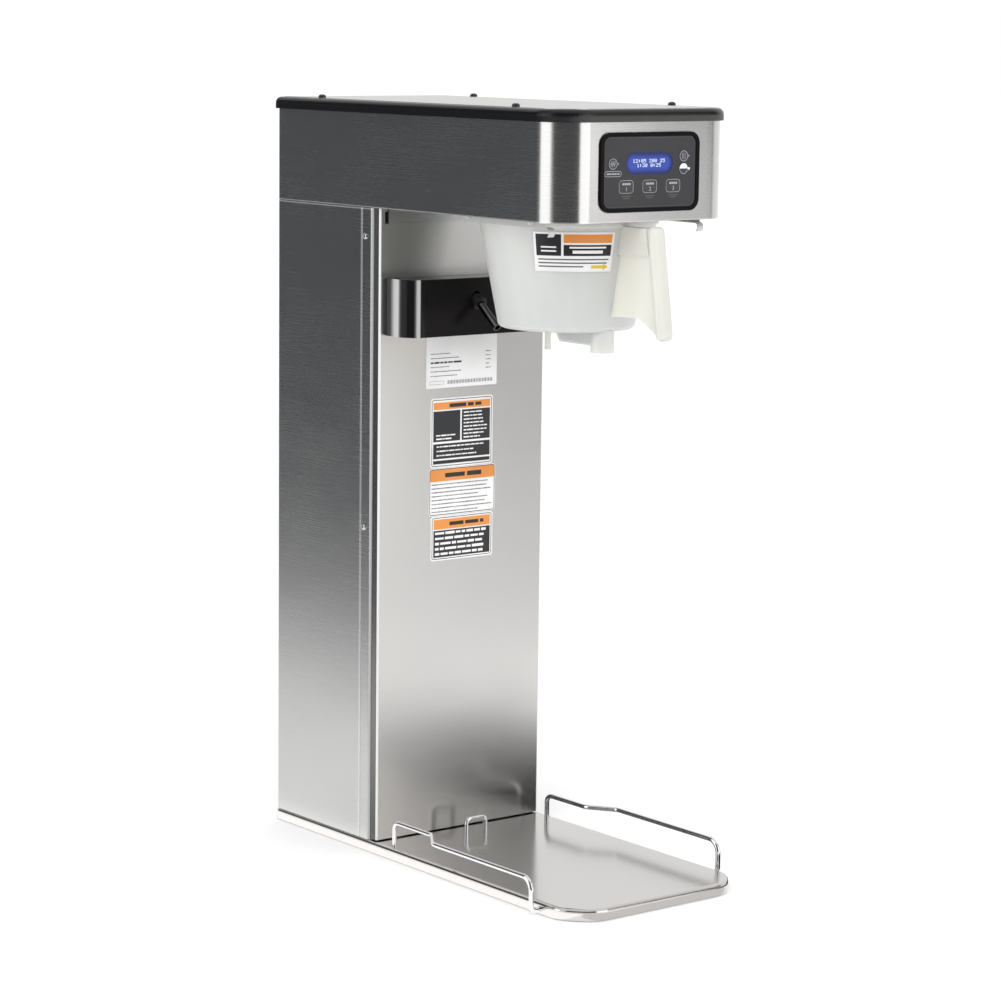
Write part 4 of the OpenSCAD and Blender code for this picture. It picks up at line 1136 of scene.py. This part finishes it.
@dataclass
class Hood:
    """The hood: brushed sheet, floor, black rim and top plate with its screws.

    The setbacks run from the hood's front and rear to its screws.
    """

    screw_radius: float = 4.5 * MM
    screw_height: float = 4.0 * MM
    front_setback: float = 92.0 * MM
    rear_setback: float = 74.0 * MM
    screw_inset: float = 16.0 * MM
    foot_hem: float = 1.2 * MM

    def build(self) -> None:
        """Dresses the hood, with a painted highlight line along the foot of its shell, and seats its top
        screws.
        """
        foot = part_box("hood_shell")[0][2]
        # Painted highlight line along the shell's foot.
        dress_nodes(hemmed("hood_steel", 0.0, ("Z", foot, foot + self.foot_hem)), "hood_shell")
        dress_nodes(STEEL, "hood_floor")
        dress_nodes(TOP_STEEL, "top_plate")
        rim_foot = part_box("top_rim")[0][2]
        dress_nodes(PebbledRim("rim_black", (0.004, 0.004, 0.006), 0.34, foot=rim_foot), "top_rim")
        self.screws()

    def screws(self) -> None:
        """Puts black heads on the top plate's corners."""
        shell_low, shell_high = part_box("hood_shell")
        rim_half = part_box("top_rim")[1][0]
        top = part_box("top_plate")[1][2]
        levels = (shell_low[1] + self.front_setback, shell_high[1] - self.rear_setback)
        seats = corner_seats(rim_half - self.screw_inset, levels, top, 1.0)
        heads = ScrewHeads(self.screw_radius, self.screw_height, PART_BLACK, seed=9)
        heads.place("top_screw_heads", seats, "top_screws")


@dataclass
class KeyPanel:
    """The key panel: bezel, membrane with its print, keys with numbers, display and lamp.

    Shifts are along X and Z from the middle of the key or display that they go with. A row of
    the display is its text and its shift. A faint mark is its drop and its length, and an arrow
    its length and half its width.
    """

    line: float = 0.5 * MM
    border_inset: float = 1.1 * MM
    border_corner: float = 7.4 * MM
    border_line: float = 0.3 * MM
    faint_marks: tuple[Point2, ...] = ((10.2 * MM, 13.0 * MM), (12.4 * MM, 9.0 * MM))
    faint_height: float = 0.7 * MM
    stadium: Point2 = (23.5 * MM, 6.0 * MM)
    stadium_shift: Point2 = (0.6 * MM, -10.6 * MM)
    arrow_reach: float = 2.6 * MM
    arrow: Point2 = (1.6 * MM, 1.2 * MM)
    key_gap: float = 0.95 * MM
    key_corner: float = 3.6 * MM
    number_size: float = 6.2 * MM
    number_drop: float = 2.7 * MM
    halo: float = 1.6 * MM
    ring_inset: float = 0.2 * MM
    display_rows: tuple[tuple[str, float, float], ...] = (
        ("12:05 200 25", -0.5 * MM, 2.7 * MM), ("1:30 0:25", -0.5 * MM, -2.1 * MM))

    def build(self) -> None:
        """Dresses the panel and prints the membrane, the keys and the display."""
        dress_nodes(BEZEL_BLACK, "control_bezel")
        dress_nodes(MEMBRANE, "control_panel")
        dress_nodes(KEY_FILM, "brew_key_1", "brew_key_2", "brew_key_3", "rinse_key", "upper_key", "lower_key")
        dress_nodes(LAMP_GLOW, "status_lamp")
        self.display()
        self.membrane_print()
        for number in (1, 2, 3):
            self.brew_key_print(number)
        self.rinse_key_print()
        self.half_key_print("upper_key", filled=False)
        self.half_key_print("lower_key", filled=True)

    def middle(self, node: str) -> tuple[float, Point2, Point2]:
        """Returns a solid's front Y, its middle and its size, both in X and Z."""
        low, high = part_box(node)
        centre = ((low[0] + high[0]) / 2, (low[2] + high[2]) / 2)
        return low[1], centre, (high[0] - low[0], high[2] - low[2])

    def display(self) -> None:
        """Lights the display and shows plain numbers on it."""
        face, centre, size = self.middle("display_window")
        glow = GlowFilm("display_glow", (0.048, 0.088, 0.44), 0.12, glow=1.0, centre=centre, size=size)
        dress_nodes(glow, "display_window")
        PixelRows().place("display_pixels", face, [
            (text, (centre[0] + across, centre[1] + rise)) for text, across, rise in self.display_rows])
        halo = FrontPrint(self.middle("control_panel")[0])
        width, height = (part + 2 * self.halo for part in size)
        halo.frame(width, height, height / 2, self.halo, centre)
        halo.done("display_halo", HALO_GLOW, HOUSING)

    def membrane_print(self) -> None:
        """Prints the membrane's border, the stadium under the left key and faint marks."""
        face, centre, size = self.middle("control_panel")
        edge = FrontPrint(face)
        inset = 2 * self.border_inset
        edge.frame(size[0] - inset, size[1] - inset, self.border_corner, self.border_line, centre)
        for number in (1, 2, 3):
            middle = self.middle(f"brew_key_{number}")[1]
            for drop, length in self.faint_marks:
                level = middle[1] - drop
                edge.bar(middle[0] - length / 2, middle[0] + length / 2, level, level + self.faint_height)
        edge.done("membrane_faint_marks", PRINT_FAINT, HOUSING)
        marks = FrontPrint(face)
        rinse = self.middle("rinse_key")[1]
        place = (rinse[0] + self.stadium_shift[0], rinse[1] + self.stadium_shift[1])
        marks.frame(*self.stadium, self.stadium[1] / 2, self.line, place)
        for step in range(5):
            left = place[0] - 8.6 * MM + step * 3.6 * MM
            marks.bar(left, left + (2.6 if step % 2 else 3.0) * MM, place[1] - 0.8 * MM, place[1] + 0.8 * MM)
        length, half = self.arrow
        for node in ("rinse_key", "upper_key"):
            _, middle, size = self.middle(node)
            tip = middle[0] + size[0] / 2 + self.arrow_reach
            left = tip - length
            marks.plate([(left, middle[1] - half), (tip, middle[1]), (left, middle[1] + half)])
        gap = 2 * self.key_gap
        for number in (1, 2, 3):
            _, middle, size = self.middle(f"brew_key_{number}")
            marks.frame(size[0] + gap, size[1] + gap, self.key_corner, self.line, middle)
        marks.done("membrane_silver_marks", PRINT_SILVER, HOUSING)

    def brew_key_print(self, number: int) -> None:
        """Prints a bar and a plain number on a brew key.

        Args:
            number: The key's number.
        """
        node = f"brew_key_{number}"
        face, centre, _ = self.middle(node)
        marks = FrontPrint(face)
        for step in range(4):
            left = centre[0] - 5.6 * MM + step * 2.9 * MM
            marks.bar(left, left + 2.2 * MM, centre[1] + 1.9 * MM, centre[1] + 4.1 * MM)
        marks.done(f"{node}_bar", PRINT_SILVER, f"{node}_body")
        curve = bpy.data.curves.new(f"{node}_number", "FONT")
        curve.body = str(number)
        curve.size = self.number_size
        curve.align_x = curve.align_y = "CENTER"
        curve.extrude = marks.lift
        holder = add_object(f"{node}_number_holder", curve)
        bpy.context.view_layer.update()
        mesh = bpy.data.meshes.new_from_object(holder.evaluated_get(bpy.context.evaluated_depsgraph_get()))
        bpy.data.objects.remove(holder)
        spot = Matrix.Translation((centre[0], face, centre[1] - self.number_drop))
        mesh.transform(spot @ Matrix.Rotation(math.pi / 2, 4, "X"))
        mesh.materials.clear()
        mesh.materials.append(PRINT_SILVER.material())
        settle(f"{node}_number", mesh, f"{node}_body")

    def rinse_key_print(self) -> None:
        """Prints the left key's ring and grid."""
        face, centre, size = self.middle("rinse_key")
        marks = FrontPrint(face)
        marks.hoop(size[0] / 2 - self.ring_inset, self.line, centre)
        for step in (-1, 0, 1):
            middle = centre[0] + step * 2.2 * MM
            marks.stroke([(middle - 0.8 * MM, centre[1] - 3.0 * MM),
                          (middle + 0.8 * MM, centre[1] + 3.0 * MM)], self.line)
        marks.stroke([(centre[0] - 3.6 * MM, centre[1]), (centre[0] + 3.6 * MM, centre[1])], self.line)
        marks.done("rinse_key_marks", PRINT_SILVER, "rinse_key_body")

    def half_key_print(self, node: str, filled: bool) -> None:
        """Prints the fill-level sign on a right-hand key.

        Args:
            node: The key's solid.
            filled: Whether the upper half is lit.
        """
        face, centre, size = self.middle(node)
        reach = size[0] / 2 - self.ring_inset
        marks = FrontPrint(face)
        marks.hoop(reach, self.line, centre)
        if not filled:
            for shift in (-1.8, 0.0, 1.8):
                marks.stroke([(centre[0] + shift * MM, centre[1] - 3.4 * MM),
                              (centre[0] + shift * MM, centre[1] + 3.4 * MM)], 0.35 * MM)
        marks.done(f"{node}_ring", PRINT_SILVER, f"{node}_body")
        if filled:
            cap = FrontPrint(face, 1.5 * marks.lift)
            cap.plate(arc(reach - 0.1 * MM, centre, 2, 178))
            cap.done(f"{node}_cap", LAMP_GLOW, f"{node}_body")


@dataclass
class BrewFunnel:
    """The slide-out funnel with its filter support and the card on its wall.

    The card reaches from card_start to card_end, in degrees from +X round the bowl's axis. A
    print on it has a finish, a lift and its patches. A patch is its left and right end and its
    lower and upper edge, as shares of the card.
    """

    axis_y: float = -0.1125
    card_start: float = 208.0
    card_end: float = 262.5
    card_thickness: float = 0.3 * MM
    bowl_height: float = 122.5 * MM
    bowl_radii: Point2 = (75.5 * MM, 99.5 * MM)

    UNDER = 0.0001
    FACETS = 26
    PRINTS = {
        "funnel_card_blocks": (INK_DARK, 0.00005, (
            ((0.03, 0.34), (0.40, 0.95)), ((0.37, 0.97), (0.40, 0.68)))),
        "funnel_card_band": (INK_ORANGE, 0.00005, (
            ((0.37, 0.97), (0.73, 0.95)),)),
        "funnel_card_rows": (INK_GREY, 0.00005, (
            ((0.05, 0.95), (0.29, 0.325)), ((0.05, 0.93), (0.20, 0.235)), ((0.05, 0.62), (0.11, 0.145)))),
        "funnel_card_light_rows": (PAPER, 0.00012, (
            ((0.44, 0.90), (0.59, 0.635)), ((0.48, 0.86), (0.46, 0.54)),
            ((0.09, 0.28), (0.50, 0.54)), ((0.09, 0.28), (0.60, 0.64)))),
        "funnel_card_arrow": (INK_YELLOW, 0.00006, (
            ((0.72, 0.88), (0.08, 0.16)), ((0.88, 0.91), (0.05, 0.19)), ((0.91, 0.94), (0.09, 0.15)))),
    }

    def build(self) -> None:
        """Dresses the funnel and prints its card."""
        dress_nodes(MILKY, "brew_funnel")
        dress_nodes(WIRE, "filter_support")
        dress_nodes(PAPER, "funnel_card")
        self.card_print()

    def wall_radius(self, level: float) -> float:
        """Returns the card face's radius at a height, from the bowl's slant."""
        narrow, wide = self.bowl_radii
        bowl_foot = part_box("brew_funnel")[1][2] - self.bowl_height
        share = (level - bowl_foot) / self.bowl_height
        return narrow + (wide - narrow) * share + self.card_thickness

    def patch(self, shape: bmesh.types.BMesh, span: Point2, rise: Point2, lift: float) -> None:
        """Adds a thin curved patch on the card.

        Args:
            shape: The mesh that the patch goes into.
            span: Left and right end as shares of the card's width.
            rise: Lower and upper edge as shares of the card's height.
            lift: How far the patch stands proud.
        """
        low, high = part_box("funnel_card")
        steps = max(2, int((span[1] - span[0]) * self.FACETS))
        layers = []
        for out in (lift, -self.UNDER):
            rows = []
            for share in rise:
                level = low[2] + (high[2] - low[2]) * share
                reach = self.wall_radius(level) + out
                row = []
                for step in range(steps + 1):
                    across = span[0] + (span[1] - span[0]) * step / steps
                    turn = math.radians(self.card_start + (self.card_end - self.card_start) * across)
                    spot = (reach * math.cos(turn), self.axis_y + reach * math.sin(turn), level)
                    row.append(shape.verts.new(spot))
                rows.append(row)
            layers.append(rows)
        outer, inner = layers
        for step in range(steps):
            shape.faces.new((outer[0][step], outer[0][step + 1], outer[1][step + 1], outer[1][step]))
            shape.faces.new((inner[0][step], inner[1][step], inner[1][step + 1], inner[0][step + 1]))
            shape.faces.new((outer[0][step], inner[0][step], inner[0][step + 1], outer[0][step + 1]))
            shape.faces.new((outer[1][step], outer[1][step + 1], inner[1][step + 1], inner[1][step]))
        for end in (0, steps):
            shape.faces.new((outer[0][end], outer[1][end], inner[1][end], inner[0][end]))

    def card_print(self) -> None:
        """Prints the funnel card: two dark blocks, an orange band, thin rows and a yellow arrow."""
        for name, (finish, lift, patches) in self.PRINTS.items():
            shape = bmesh.new()
            for span, rise in patches:
                self.patch(shape, span, rise, lift)
            close_shape(name, shape, finish, FUNNEL)


@dataclass
class Rails:
    """The two rails under the hood, their screws and the sprayhead between them."""

    screw_radius: float = 3.25 * MM
    screw_height: float = 2.4 * MM

    def build(self) -> None:
        """Dresses the rails and seats their screws."""
        dress_nodes(RAIL_METAL, "rail_left", "rail_right")
        dress_nodes(PART_BLACK, "sprayhead")
        dress_nodes(TUBE_METAL, "brew_tube")
        screw_low, screw_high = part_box("rail_screws")
        levels = (screw_low[1] + self.screw_radius, screw_high[1] - self.screw_radius)
        seats = corner_seats(screw_high[0] - self.screw_radius, levels, screw_high[2], -1.0)
        heads = ScrewHeads(self.screw_radius, self.screw_height, SCREW_METAL, seed=3)
        heads.place("rail_screw_heads", seats, "rail_screws")


@dataclass
class DilutionOutlet:
    """The black outlet cover with its grommet and bent tube.

    The painted highlight on the cover's sides and corners fades between two distances in front of its rear.
    """

    fade_start: float = 15.3 * MM
    fade_end: float = 7.3 * MM

    def build(self) -> None:
        """Dresses the cover, the grommet and the tube."""
        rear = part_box("dilution_cover")[1][1]
        # The black cover gets a painted highlight on its sides and rounded corners.
        cover = CornerSheen("cover_black", (0.008, 0.007, 0.008), 0.15, coat=0.0, shine=0.12,
                            fades=(rear - self.fade_start, rear - self.fade_end))
        dress_nodes(cover, "dilution_cover")
        dress_nodes(GROMMET_RUBBER, "dilution_grommet")
        dress_nodes(OUTLET_METAL, "dilution_tube")


@dataclass
class Boiler:
    """What is inside: the hot water tank, its fittings, the valves and the pipework."""

    def build(self) -> None:
        """Dresses the tank, the valves, the tubes and the board."""
        dress_nodes(INNER_STEEL, "hot_water_tank", "tank_lid", "tank_brackets", "valve_shelf")
        dress_nodes(GASKET, "tank_gasket")
        dress_nodes(ELEMENT_METAL, "heating_element")
        dress_nodes(TUBE_METAL, "temperature_probe", "level_probe", "water_tubes", "brew_feed_tube")
        dress_nodes(PART_BLACK, "limit_thermostat")
        dress_nodes(VALVE_PLASTIC, "inlet_valve", "brew_valve", "dilution_valve")
        dress_nodes(HOSE, "dilution_hose")
        dress_nodes(BOARD, "control_board")
        dress_nodes(NYLON, "board_posts")


@dataclass
class RearConnections:
    """The water inlet, the cord's bushing and the rocker switch."""

    def build(self) -> None:
        """Dresses the inlet, the bushing, the switch's housing and its rocker."""
        dress_nodes(BRASS, "water_inlet")
        dress_nodes(PART_BLACK, "cord_bushing", "switch_housing")
        dress_nodes(ROCKER_BLACK, "switch_rocker")


@dataclass(frozen=True)
class CardPlace:
    """Where a card is on the trunk's panel: middle X, lower and upper edge, and width."""

    middle: float
    low: float
    high: float
    width: float

    @property
    def centre(self) -> Point2:
        """The card's middle."""
        return (self.middle, (self.low + self.high) / 2)

    @property
    def height(self) -> float:
        """The card's height."""
        return self.high - self.low

    def inset(self, left: float, right: float, low: float, high: float) -> Four:
        """Returns left, right, low and high of a field, given as shares of the card."""
        start = self.middle - self.width / 2
        return (start + left * self.width, start + right * self.width,
                self.low + low * self.height, self.low + high * self.height)

    def row(self, face: float, left: float, level: float, span: float) -> Four:
        """Returns left end, face Y, height and span of a row, given as shares of the card."""
        start, _, height, _ = self.inset(left, 0.0, level, 0.0)
        return (start, face, height, span * self.width)

    def block(self, face: float, field: Four, count: int) -> list[Four]:
        """Returns the rows that fill a field of the card.

        Args:
            face: The card's front Y.
            field: Left, right, low and high as shares of the card.
            count: Number of rows.

        Returns:
            Left end, face Y, height and span of each row, from the top.
        """
        left, right, low, high = self.inset(*field)
        levels = [high - (high - low) * (row + 0.5) / count for row in range(count)]
        return [(left, face, level, right - left) for level in levels]


@dataclass
class PanelCards:
    """The data plate and three cards on the front panel, all with plain prints.

    A plate row is its place from the top and its span. Ticks and gaps are in millimetres.
    """

    deck: float = 0.014
    margins: Point2 = (0.045, 0.955)
    border: float = 0.8 * MM
    corner: float = 3.0 * MM
    band_corner: float = 2.2 * MM

    INK = 0.00006
    PLATE_ROWS = ((0, 0.30), (1, 0.44), (3, 0.34), (4, 0.50), (5, 0.40))
    TICKS = (0.5, 0.9, 0.4, 0.6, 1.1, 0.4)
    TICK_GAPS = (0.7, 0.5, 1.0)

    def place(self, middle: float, low: float, high: float, width: float) -> CardPlace:
        """Returns a card's place from millimetres over the deck."""
        return CardPlace(middle * MM, self.deck + low * MM, self.deck + high * MM, width * MM)

    def build(self) -> None:
        """Dresses the plate and the cards and prints them."""
        dress_nodes(PAPER, "data_plate", "panel_cards")
        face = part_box("panel_cards")[0][1]
        plate_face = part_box("data_plate")[0][1]
        tall = self.place(-1.0, 433.2, 514.5, 91.0)
        wide = self.place(0.5, 377.0, 432.6, 97.0)
        small = self.place(0.5, 323.8, 376.4, 91.0)
        self.blocks(face, tall, wide, small)
        self.rows(face, tall, wide, small)
        self.plate_print(plate_face)

    def blocks(self, face: float, tall: CardPlace, wide: CardPlace, small: CardPlace) -> None:
        """Prints the cards' bands and dark fields.

        Args:
            face: The cards' front Y.
            tall: The upper card.
            wide: The middle card.
            small: The lower card.
        """
        left, right = self.margins
        bands = FrontPrint(face)
        bands.bar(*tall.inset(left, right, 0.835, 0.94))
        edge = 1.6 * MM
        band = (wide.width - 2 * edge, wide.height * 0.25)
        bands.plate(oval(*band, self.band_corner, (wide.middle, wide.high - edge - band[1] / 2)))
        bands.bar(*small.inset(left, right, 0.70, 0.925))
        bands.done("card_bands", INK_ORANGE, HOUSING)
        dark = FrontPrint(face)
        for field in ((left, 0.475, 0.375, 0.815), (0.50, right, 0.375, 0.815), (left, right, 0.13, 0.345),
                      (left, right, 0.055, 0.105)):
            dark.bar(*tall.inset(*field))
        dark.bar(*small.inset(left, right, 0.075, 0.675))
        for card, inset in ((tall, 3.4 * MM), (wide, 1.6 * MM), (small, 3.4 * MM)):
            dark.frame(card.width - inset, card.height - inset, self.corner, self.border, card.centre)
        dark.done("card_fields", INK_DARK, HOUSING)

    def rows(self, face: float, tall: CardPlace, wide: CardPlace, small: CardPlace) -> None:
        """Prints the cards' rows.

        Args:
            face: The cards' front Y.
            tall: The upper card.
            wide: The middle card.
            small: The lower card.
        """
        RuledRows(1.7 * MM, PAPER, 0.35, 5).place("card_light_rows", [
            *tall.block(face, (0.53, 0.93, 0.39, 0.80), 8), *tall.block(face, (0.10, 0.90, 0.145, 0.335), 3),
            *tall.block(face, (0.09, 0.45, 0.39, 0.49), 2)])
        bold = small.block(face, (0.07, 0.94, 0.09, 0.67), 5)
        RuledRows(3.2 * MM, PAPER, 0.12, 12).place("card_bold_rows", bold)
        thin = wide.block(face, (0.04, 0.96, 0.04, 0.70), 8)
        RuledRows(1.3 * MM, INK_GREY, 0.25, 8).place("card_thin_rows", thin)
        over = face - self.INK
        RuledRows(4.6 * MM, INK_DARK, 0.0, 2).place("card_header_rows", [
            tall.row(over, 0.30, 0.888, 0.55), small.row(over, 0.30, 0.812, 0.55)])
        RuledRows(6.0 * MM, INK_DARK, 0.0, 6).place("card_title_row", [wide.row(over, 0.24, 0.845, 0.62)])

    def plate_print(self, face: float) -> None:
        """Prints the data plate's thin rows and its strip of ticks.

        Args:
            face: The plate's front Y.
        """
        plate = self.place(-2.0, 526.5, 587.0, 103.0)
        rows = [plate.row(face, 0.06, 0.66 - 0.085 * row, span) for row, span in self.PLATE_ROWS]
        rows += [plate.row(face, 0.84, 0.66 - 0.08 * row, 0.09) for row in range(5)]
        RuledRows(1.0 * MM, INK_GREY, 0.3, 3).place("data_plate_rows", rows)
        bold = RuledRows(2.2 * MM, INK_DARK, 0.0, 4)
        bold.place("data_plate_bold_row", [plate.row(face, 0.06, 0.49, 0.45)])
        ticks = FrontPrint(face)
        place, end, low, high = plate.inset(0.30, 0.94, 0.07, 0.14)
        step = 0
        while place < end:
            width = self.TICKS[step % len(self.TICKS)] * MM
            ticks.bar(place, place + width, low, high)
            place += width + self.TICK_GAPS[step % len(self.TICK_GAPS)] * MM
            step += 1
        middle = plate.inset(0.15, 1.0, 0.0, 0.0)[0]
        ticks.frame(0.2 * plate.width, 4.0 * MM, 0.8 * MM, 0.3 * MM, (middle, (low + high) / 2))
        ticks.done("data_plate_ticks", INK_GREY, HOUSING)


@dataclass
class Reflector:
    """A studio card that only shows as a reflection."""

    name: str
    strength: float
    colour: Colour = (1.0, 1.0, 1.0)

    ABOVE_FLOOR = 0.001
    LOWEST = 0.0008

    def raise_card(self, corners: Sequence[Sequence[float]], faces: Sequence[Sequence[int]]) -> None:
        """Makes the card.

        Args:
            corners: The card's points.
            faces: Its faces.
        """
        mesh = bpy.data.meshes.new(self.name)
        mesh.from_pydata(corners, [], faces)
        material, graph = blank_material(self.name)
        glow = graph.add("ShaderNodeEmission", {"Color": (*self.colour, 1.0), "Strength": self.strength})
        graph.end("ShaderNodeOutputMaterial", glow.outputs[0])
        mesh.materials.append(material)
        card = add_object(self.name, mesh)
        card.visible_camera = False
        card.visible_diffuse = False
        card.visible_shadow = False
        card.visible_transmission = False

    def upright(self, left: Point2, right: Point2, low: float, high: float) -> None:
        """Makes a flat upright card over the line between two places on the floor."""
        corners = [(*left, low), (*right, low), (*right, high), (*left, high)]
        self.raise_card(corners, QUAD)

    def strip(self, left: float, right: float, front: float, rear: float) -> None:
        """Makes a flat rectangle on the floor, just under the other cards there."""
        places = ((left, front), (right, front), (right, rear), (left, rear))
        self.raise_card([(*place, self.LOWEST) for place in places], QUAD)

    def arc(self, radius: float, start: float, end: float, low: float, high: float) -> None:
        """Makes an upright curved card round the model.

        Args:
            radius: Its radius.
            start: Start angle from +X in degrees.
            end: End angle.
            low: Height of its lower edge.
            high: Height of its upper edge.
        """
        steps = 8
        corners = []
        for step in range(steps + 1):
            turn = math.radians(start + (end - start) * step / steps)
            for level in (low, high):
                corners.append((radius * math.cos(turn), radius * math.sin(turn), level))
        self.raise_card(corners, [(2 * s, 2 * s + 2, 2 * s + 3, 2 * s + 1) for s in range(steps)])

    def floor_arc(self, near: float, far: float, start: float, end: float) -> None:
        """Makes a flat card on the floor, between two radii and two angles in degrees."""
        steps = 12
        turns = [math.radians(start + (end - start) * step / steps) for step in range(steps + 1)]
        corners = [(reach * math.cos(turn), reach * math.sin(turn), self.ABOVE_FLOOR)
                   for reach in (near, far) for turn in turns]
        self.raise_card(corners, [(s, s + 1, s + steps + 2, s + steps + 1) for s in range(steps)])


@dataclass
class Studio:
    """The pale floor, the soft light, the reflectors and the camera.

    Heading, dip and roll are the camera's angles in degrees. A ring card is its start and end
    angle, lower and upper edge, and strength. A sector is its name, strength, two radii and two
    angles. A strip is its name, strength, left, right, front and rear.
    """

    eye: tuple[float, float, float] = (-2.214, -2.8145, 0.9625)
    heading: float = 38.17
    dip: float = 8.68
    roll: float = 0.70
    lens: float = 113.2
    fill: float = 1.0
    key_power: float = 26.0
    key_size: Point2 = (2.4, 1.8)
    key_place: tuple[float, float, float] = (-2.2, -1.6, 2.6)
    key_aim: tuple[float, float, float] = (0.0, 0.0, 0.55)
    floor_reach: float = 30.0
    floor_extra: float = 0.12
    floor_mirror: float = 0.28

    WHITE = (1.0, 1.0, 1.0, 1.0)
    FOOT = 0.001
    TOP = 2.6
    RING_RADIUS = 3.0
    RING = (
        (129, 134, FOOT, TOP, 0.8), (134, 146, FOOT, TOP, 0.25), (146, 150, FOOT, TOP, 0.6),
        (150, 187, FOOT, TOP, 2.0), (187, 193, FOOT, TOP, 0.45), (193, 272, FOOT, 4.0, 0.10),
        (272, 306, FOOT, TOP, 2.0), (306, 310.2, 0.58, TOP, 0.05), (310.2, 340, 0.79, TOP, 0.05),
        (310.2, 335, FOOT, 0.79, 0.7), (306.8, 310.2, FOOT, 0.58, 0.45))
    SECTORS = (
        ("floor_sector", 0.08, 0.9, 3.0, 195, 273), ("floor_front", 1.0, 1.05, 3.0, 288, 330),
        ("floor_middle", 1.75, 0.60, 1.05, 296, 330))
    STRIPS = (
        ("low_flag", 0.01, 0.127, 0.45, -0.43, 0.30), ("left_strip", 1.65, -0.165, -0.1241, -0.30, 0.50),
        ("front_strip", 0.9, -0.1241, 0.127, -0.343, -0.2956))

    def build(self) -> None:
        """Sets up the whole studio."""
        self.colour_management()
        self.world()
        self.floor()
        self.key_light()
        self.reflectors()
        self.camera()

    def colour_management(self) -> None:
        """Shows colours as they are written."""
        bpy.context.scene.view_settings.view_transform = "Standard"

    def world(self) -> None:
        """Makes an even white world that is pure white where it is seen."""
        world = bpy.data.worlds.new("white_studio")
        world.use_nodes = True
        world.node_tree.nodes.clear()
        graph = Graph(world.node_tree)
        path = graph.add("ShaderNodeLightPath").outputs
        mirrored = graph.math("MAXIMUM", path["Is Glossy Ray"], path["Is Transmission Ray"])
        seen = graph.math("MAXIMUM", path["Is Camera Ray"], mirrored)
        strength = graph.spread(seen, self.fill, 1.0, 0.0, 1.0)
        sky = graph.add("ShaderNodeBackground", {"Color": self.WHITE})
        graph.link(strength, sky.inputs["Strength"])
        graph.end("ShaderNodeOutputWorld", sky.outputs[0])
        bpy.context.scene.world = world

    def floor(self) -> None:
        """Makes the white floor, which keeps the machine's shadow."""
        mesh = bpy.data.meshes.new("floor")
        reach = self.floor_reach
        places = ((-reach, -reach), (reach, -reach), (reach, reach), (-reach, reach))
        mesh.from_pydata([(*place, 0.0) for place in places], [], QUAD)
        material, graph = blank_material("white_floor")
        paint = graph.add("ShaderNodeBsdfDiffuse", {"Color": (0.97, 0.97, 0.97, 1.0)})
        path = graph.add("ShaderNodeLightPath").outputs
        seen = graph.math("MAXIMUM", path["Is Camera Ray"], path["Is Transmission Ray"])
        extra = graph.math("ADD", graph.math("MULTIPLY", seen, self.floor_extra),
                           graph.math("MULTIPLY", path["Is Glossy Ray"], self.floor_mirror))
        glow = graph.add("ShaderNodeEmission", {"Color": self.WHITE})
        graph.link(extra, glow.inputs["Strength"])
        both = graph.add("ShaderNodeAddShader")
        graph.link(paint.outputs[0], both.inputs[0])
        graph.link(glow.outputs[0], both.inputs[1])
        graph.end("ShaderNodeOutputMaterial", both.outputs[0])
        mesh.materials.append(material)
        add_object("floor", mesh)

    def key_light(self) -> None:
        """Adds one wide soft lamp in front on the left."""
        lamp = bpy.data.lights.new("soft_key", "AREA")
        lamp.shape = "RECTANGLE"
        lamp.size, lamp.size_y = self.key_size
        lamp.energy = self.key_power
        holder = add_object("soft_key", lamp)
        place = Vector(self.key_place)
        aim = (Vector(self.key_aim) - place).to_track_quat("-Z", "Y")
        holder.matrix_world = Matrix.Translation(place) @ aim.to_matrix().to_4x4()
        holder.visible_glossy = False

    def reflectors(self) -> None:
        """Raises the grey and white cards that the metal mirrors."""
        flag = Reflector("left_flag", 0.095, (0.92, 0.98, 1.06))
        flag.upright((-0.80, 0.33), (-0.80, 2.2), self.FOOT, 2.4)
        for place, (start, end, low, high, strength) in enumerate(self.RING):
            Reflector(f"ring_card_{place + 1}", strength).arc(self.RING_RADIUS, start, end, low, high)
        Reflector("warm_card", 0.7, (1.0, 0.88, 0.72)).arc(2.98, 300, 306.8, 0.24, 0.56)
        Reflector("near_card", 2.4).upright((0.36, -1.14), (0.62, -1.02), 0.70, 0.83)
        Reflector("near_card_right", 0.97).upright((0.62, -1.02), (1.10, -0.80), 0.60, 0.88)
        for name, strength, *sector in self.SECTORS:
            Reflector(name, strength).floor_arc(*sector)
        for name, strength, *edges in self.STRIPS:
            Reflector(name, strength).strip(*edges)

    def camera(self) -> None:
        """Places the camera at the photograph's viewing angle."""
        lens = bpy.data.cameras.new("photo_camera")
        lens.lens = self.lens
        lens.sensor_width = 36.0
        lens.clip_end = 100.0
        holder = add_object("photo_camera", lens)
        yaw, pitch, roll = (math.radians(angle) for angle in (self.heading, self.dip, self.roll))
        ahead = Vector((math.sin(yaw) * math.cos(pitch), math.cos(yaw) * math.cos(pitch), -math.sin(pitch)))
        level = Vector((math.cos(yaw), -math.sin(yaw), 0.0))
        upright = level.cross(ahead)
        right = level * math.cos(roll) + upright * math.sin(roll)
        up = -level * math.sin(roll) + upright * math.cos(roll)
        turn = Matrix((right, up, -ahead)).transposed().to_4x4()
        holder.matrix_world = Matrix.Translation(self.eye) @ turn
        bpy.context.scene.camera = holder


def main() -> None:
    """Builds the sub-assemblies in order and reports each one."""
    logging.basicConfig(level=logging.INFO, format="%(name)s: %(message)s")
    for unit in (Base(), Trunk(), Hood(), KeyPanel(), BrewFunnel(), Rails(), DilutionOutlet(), Boiler(),
                 RearConnections(), PanelCards()):
        unit.build()
        LOG.info("%s is dressed", type(unit).__name__)
    Studio().build()


if __name__ == "__main__":
    main()
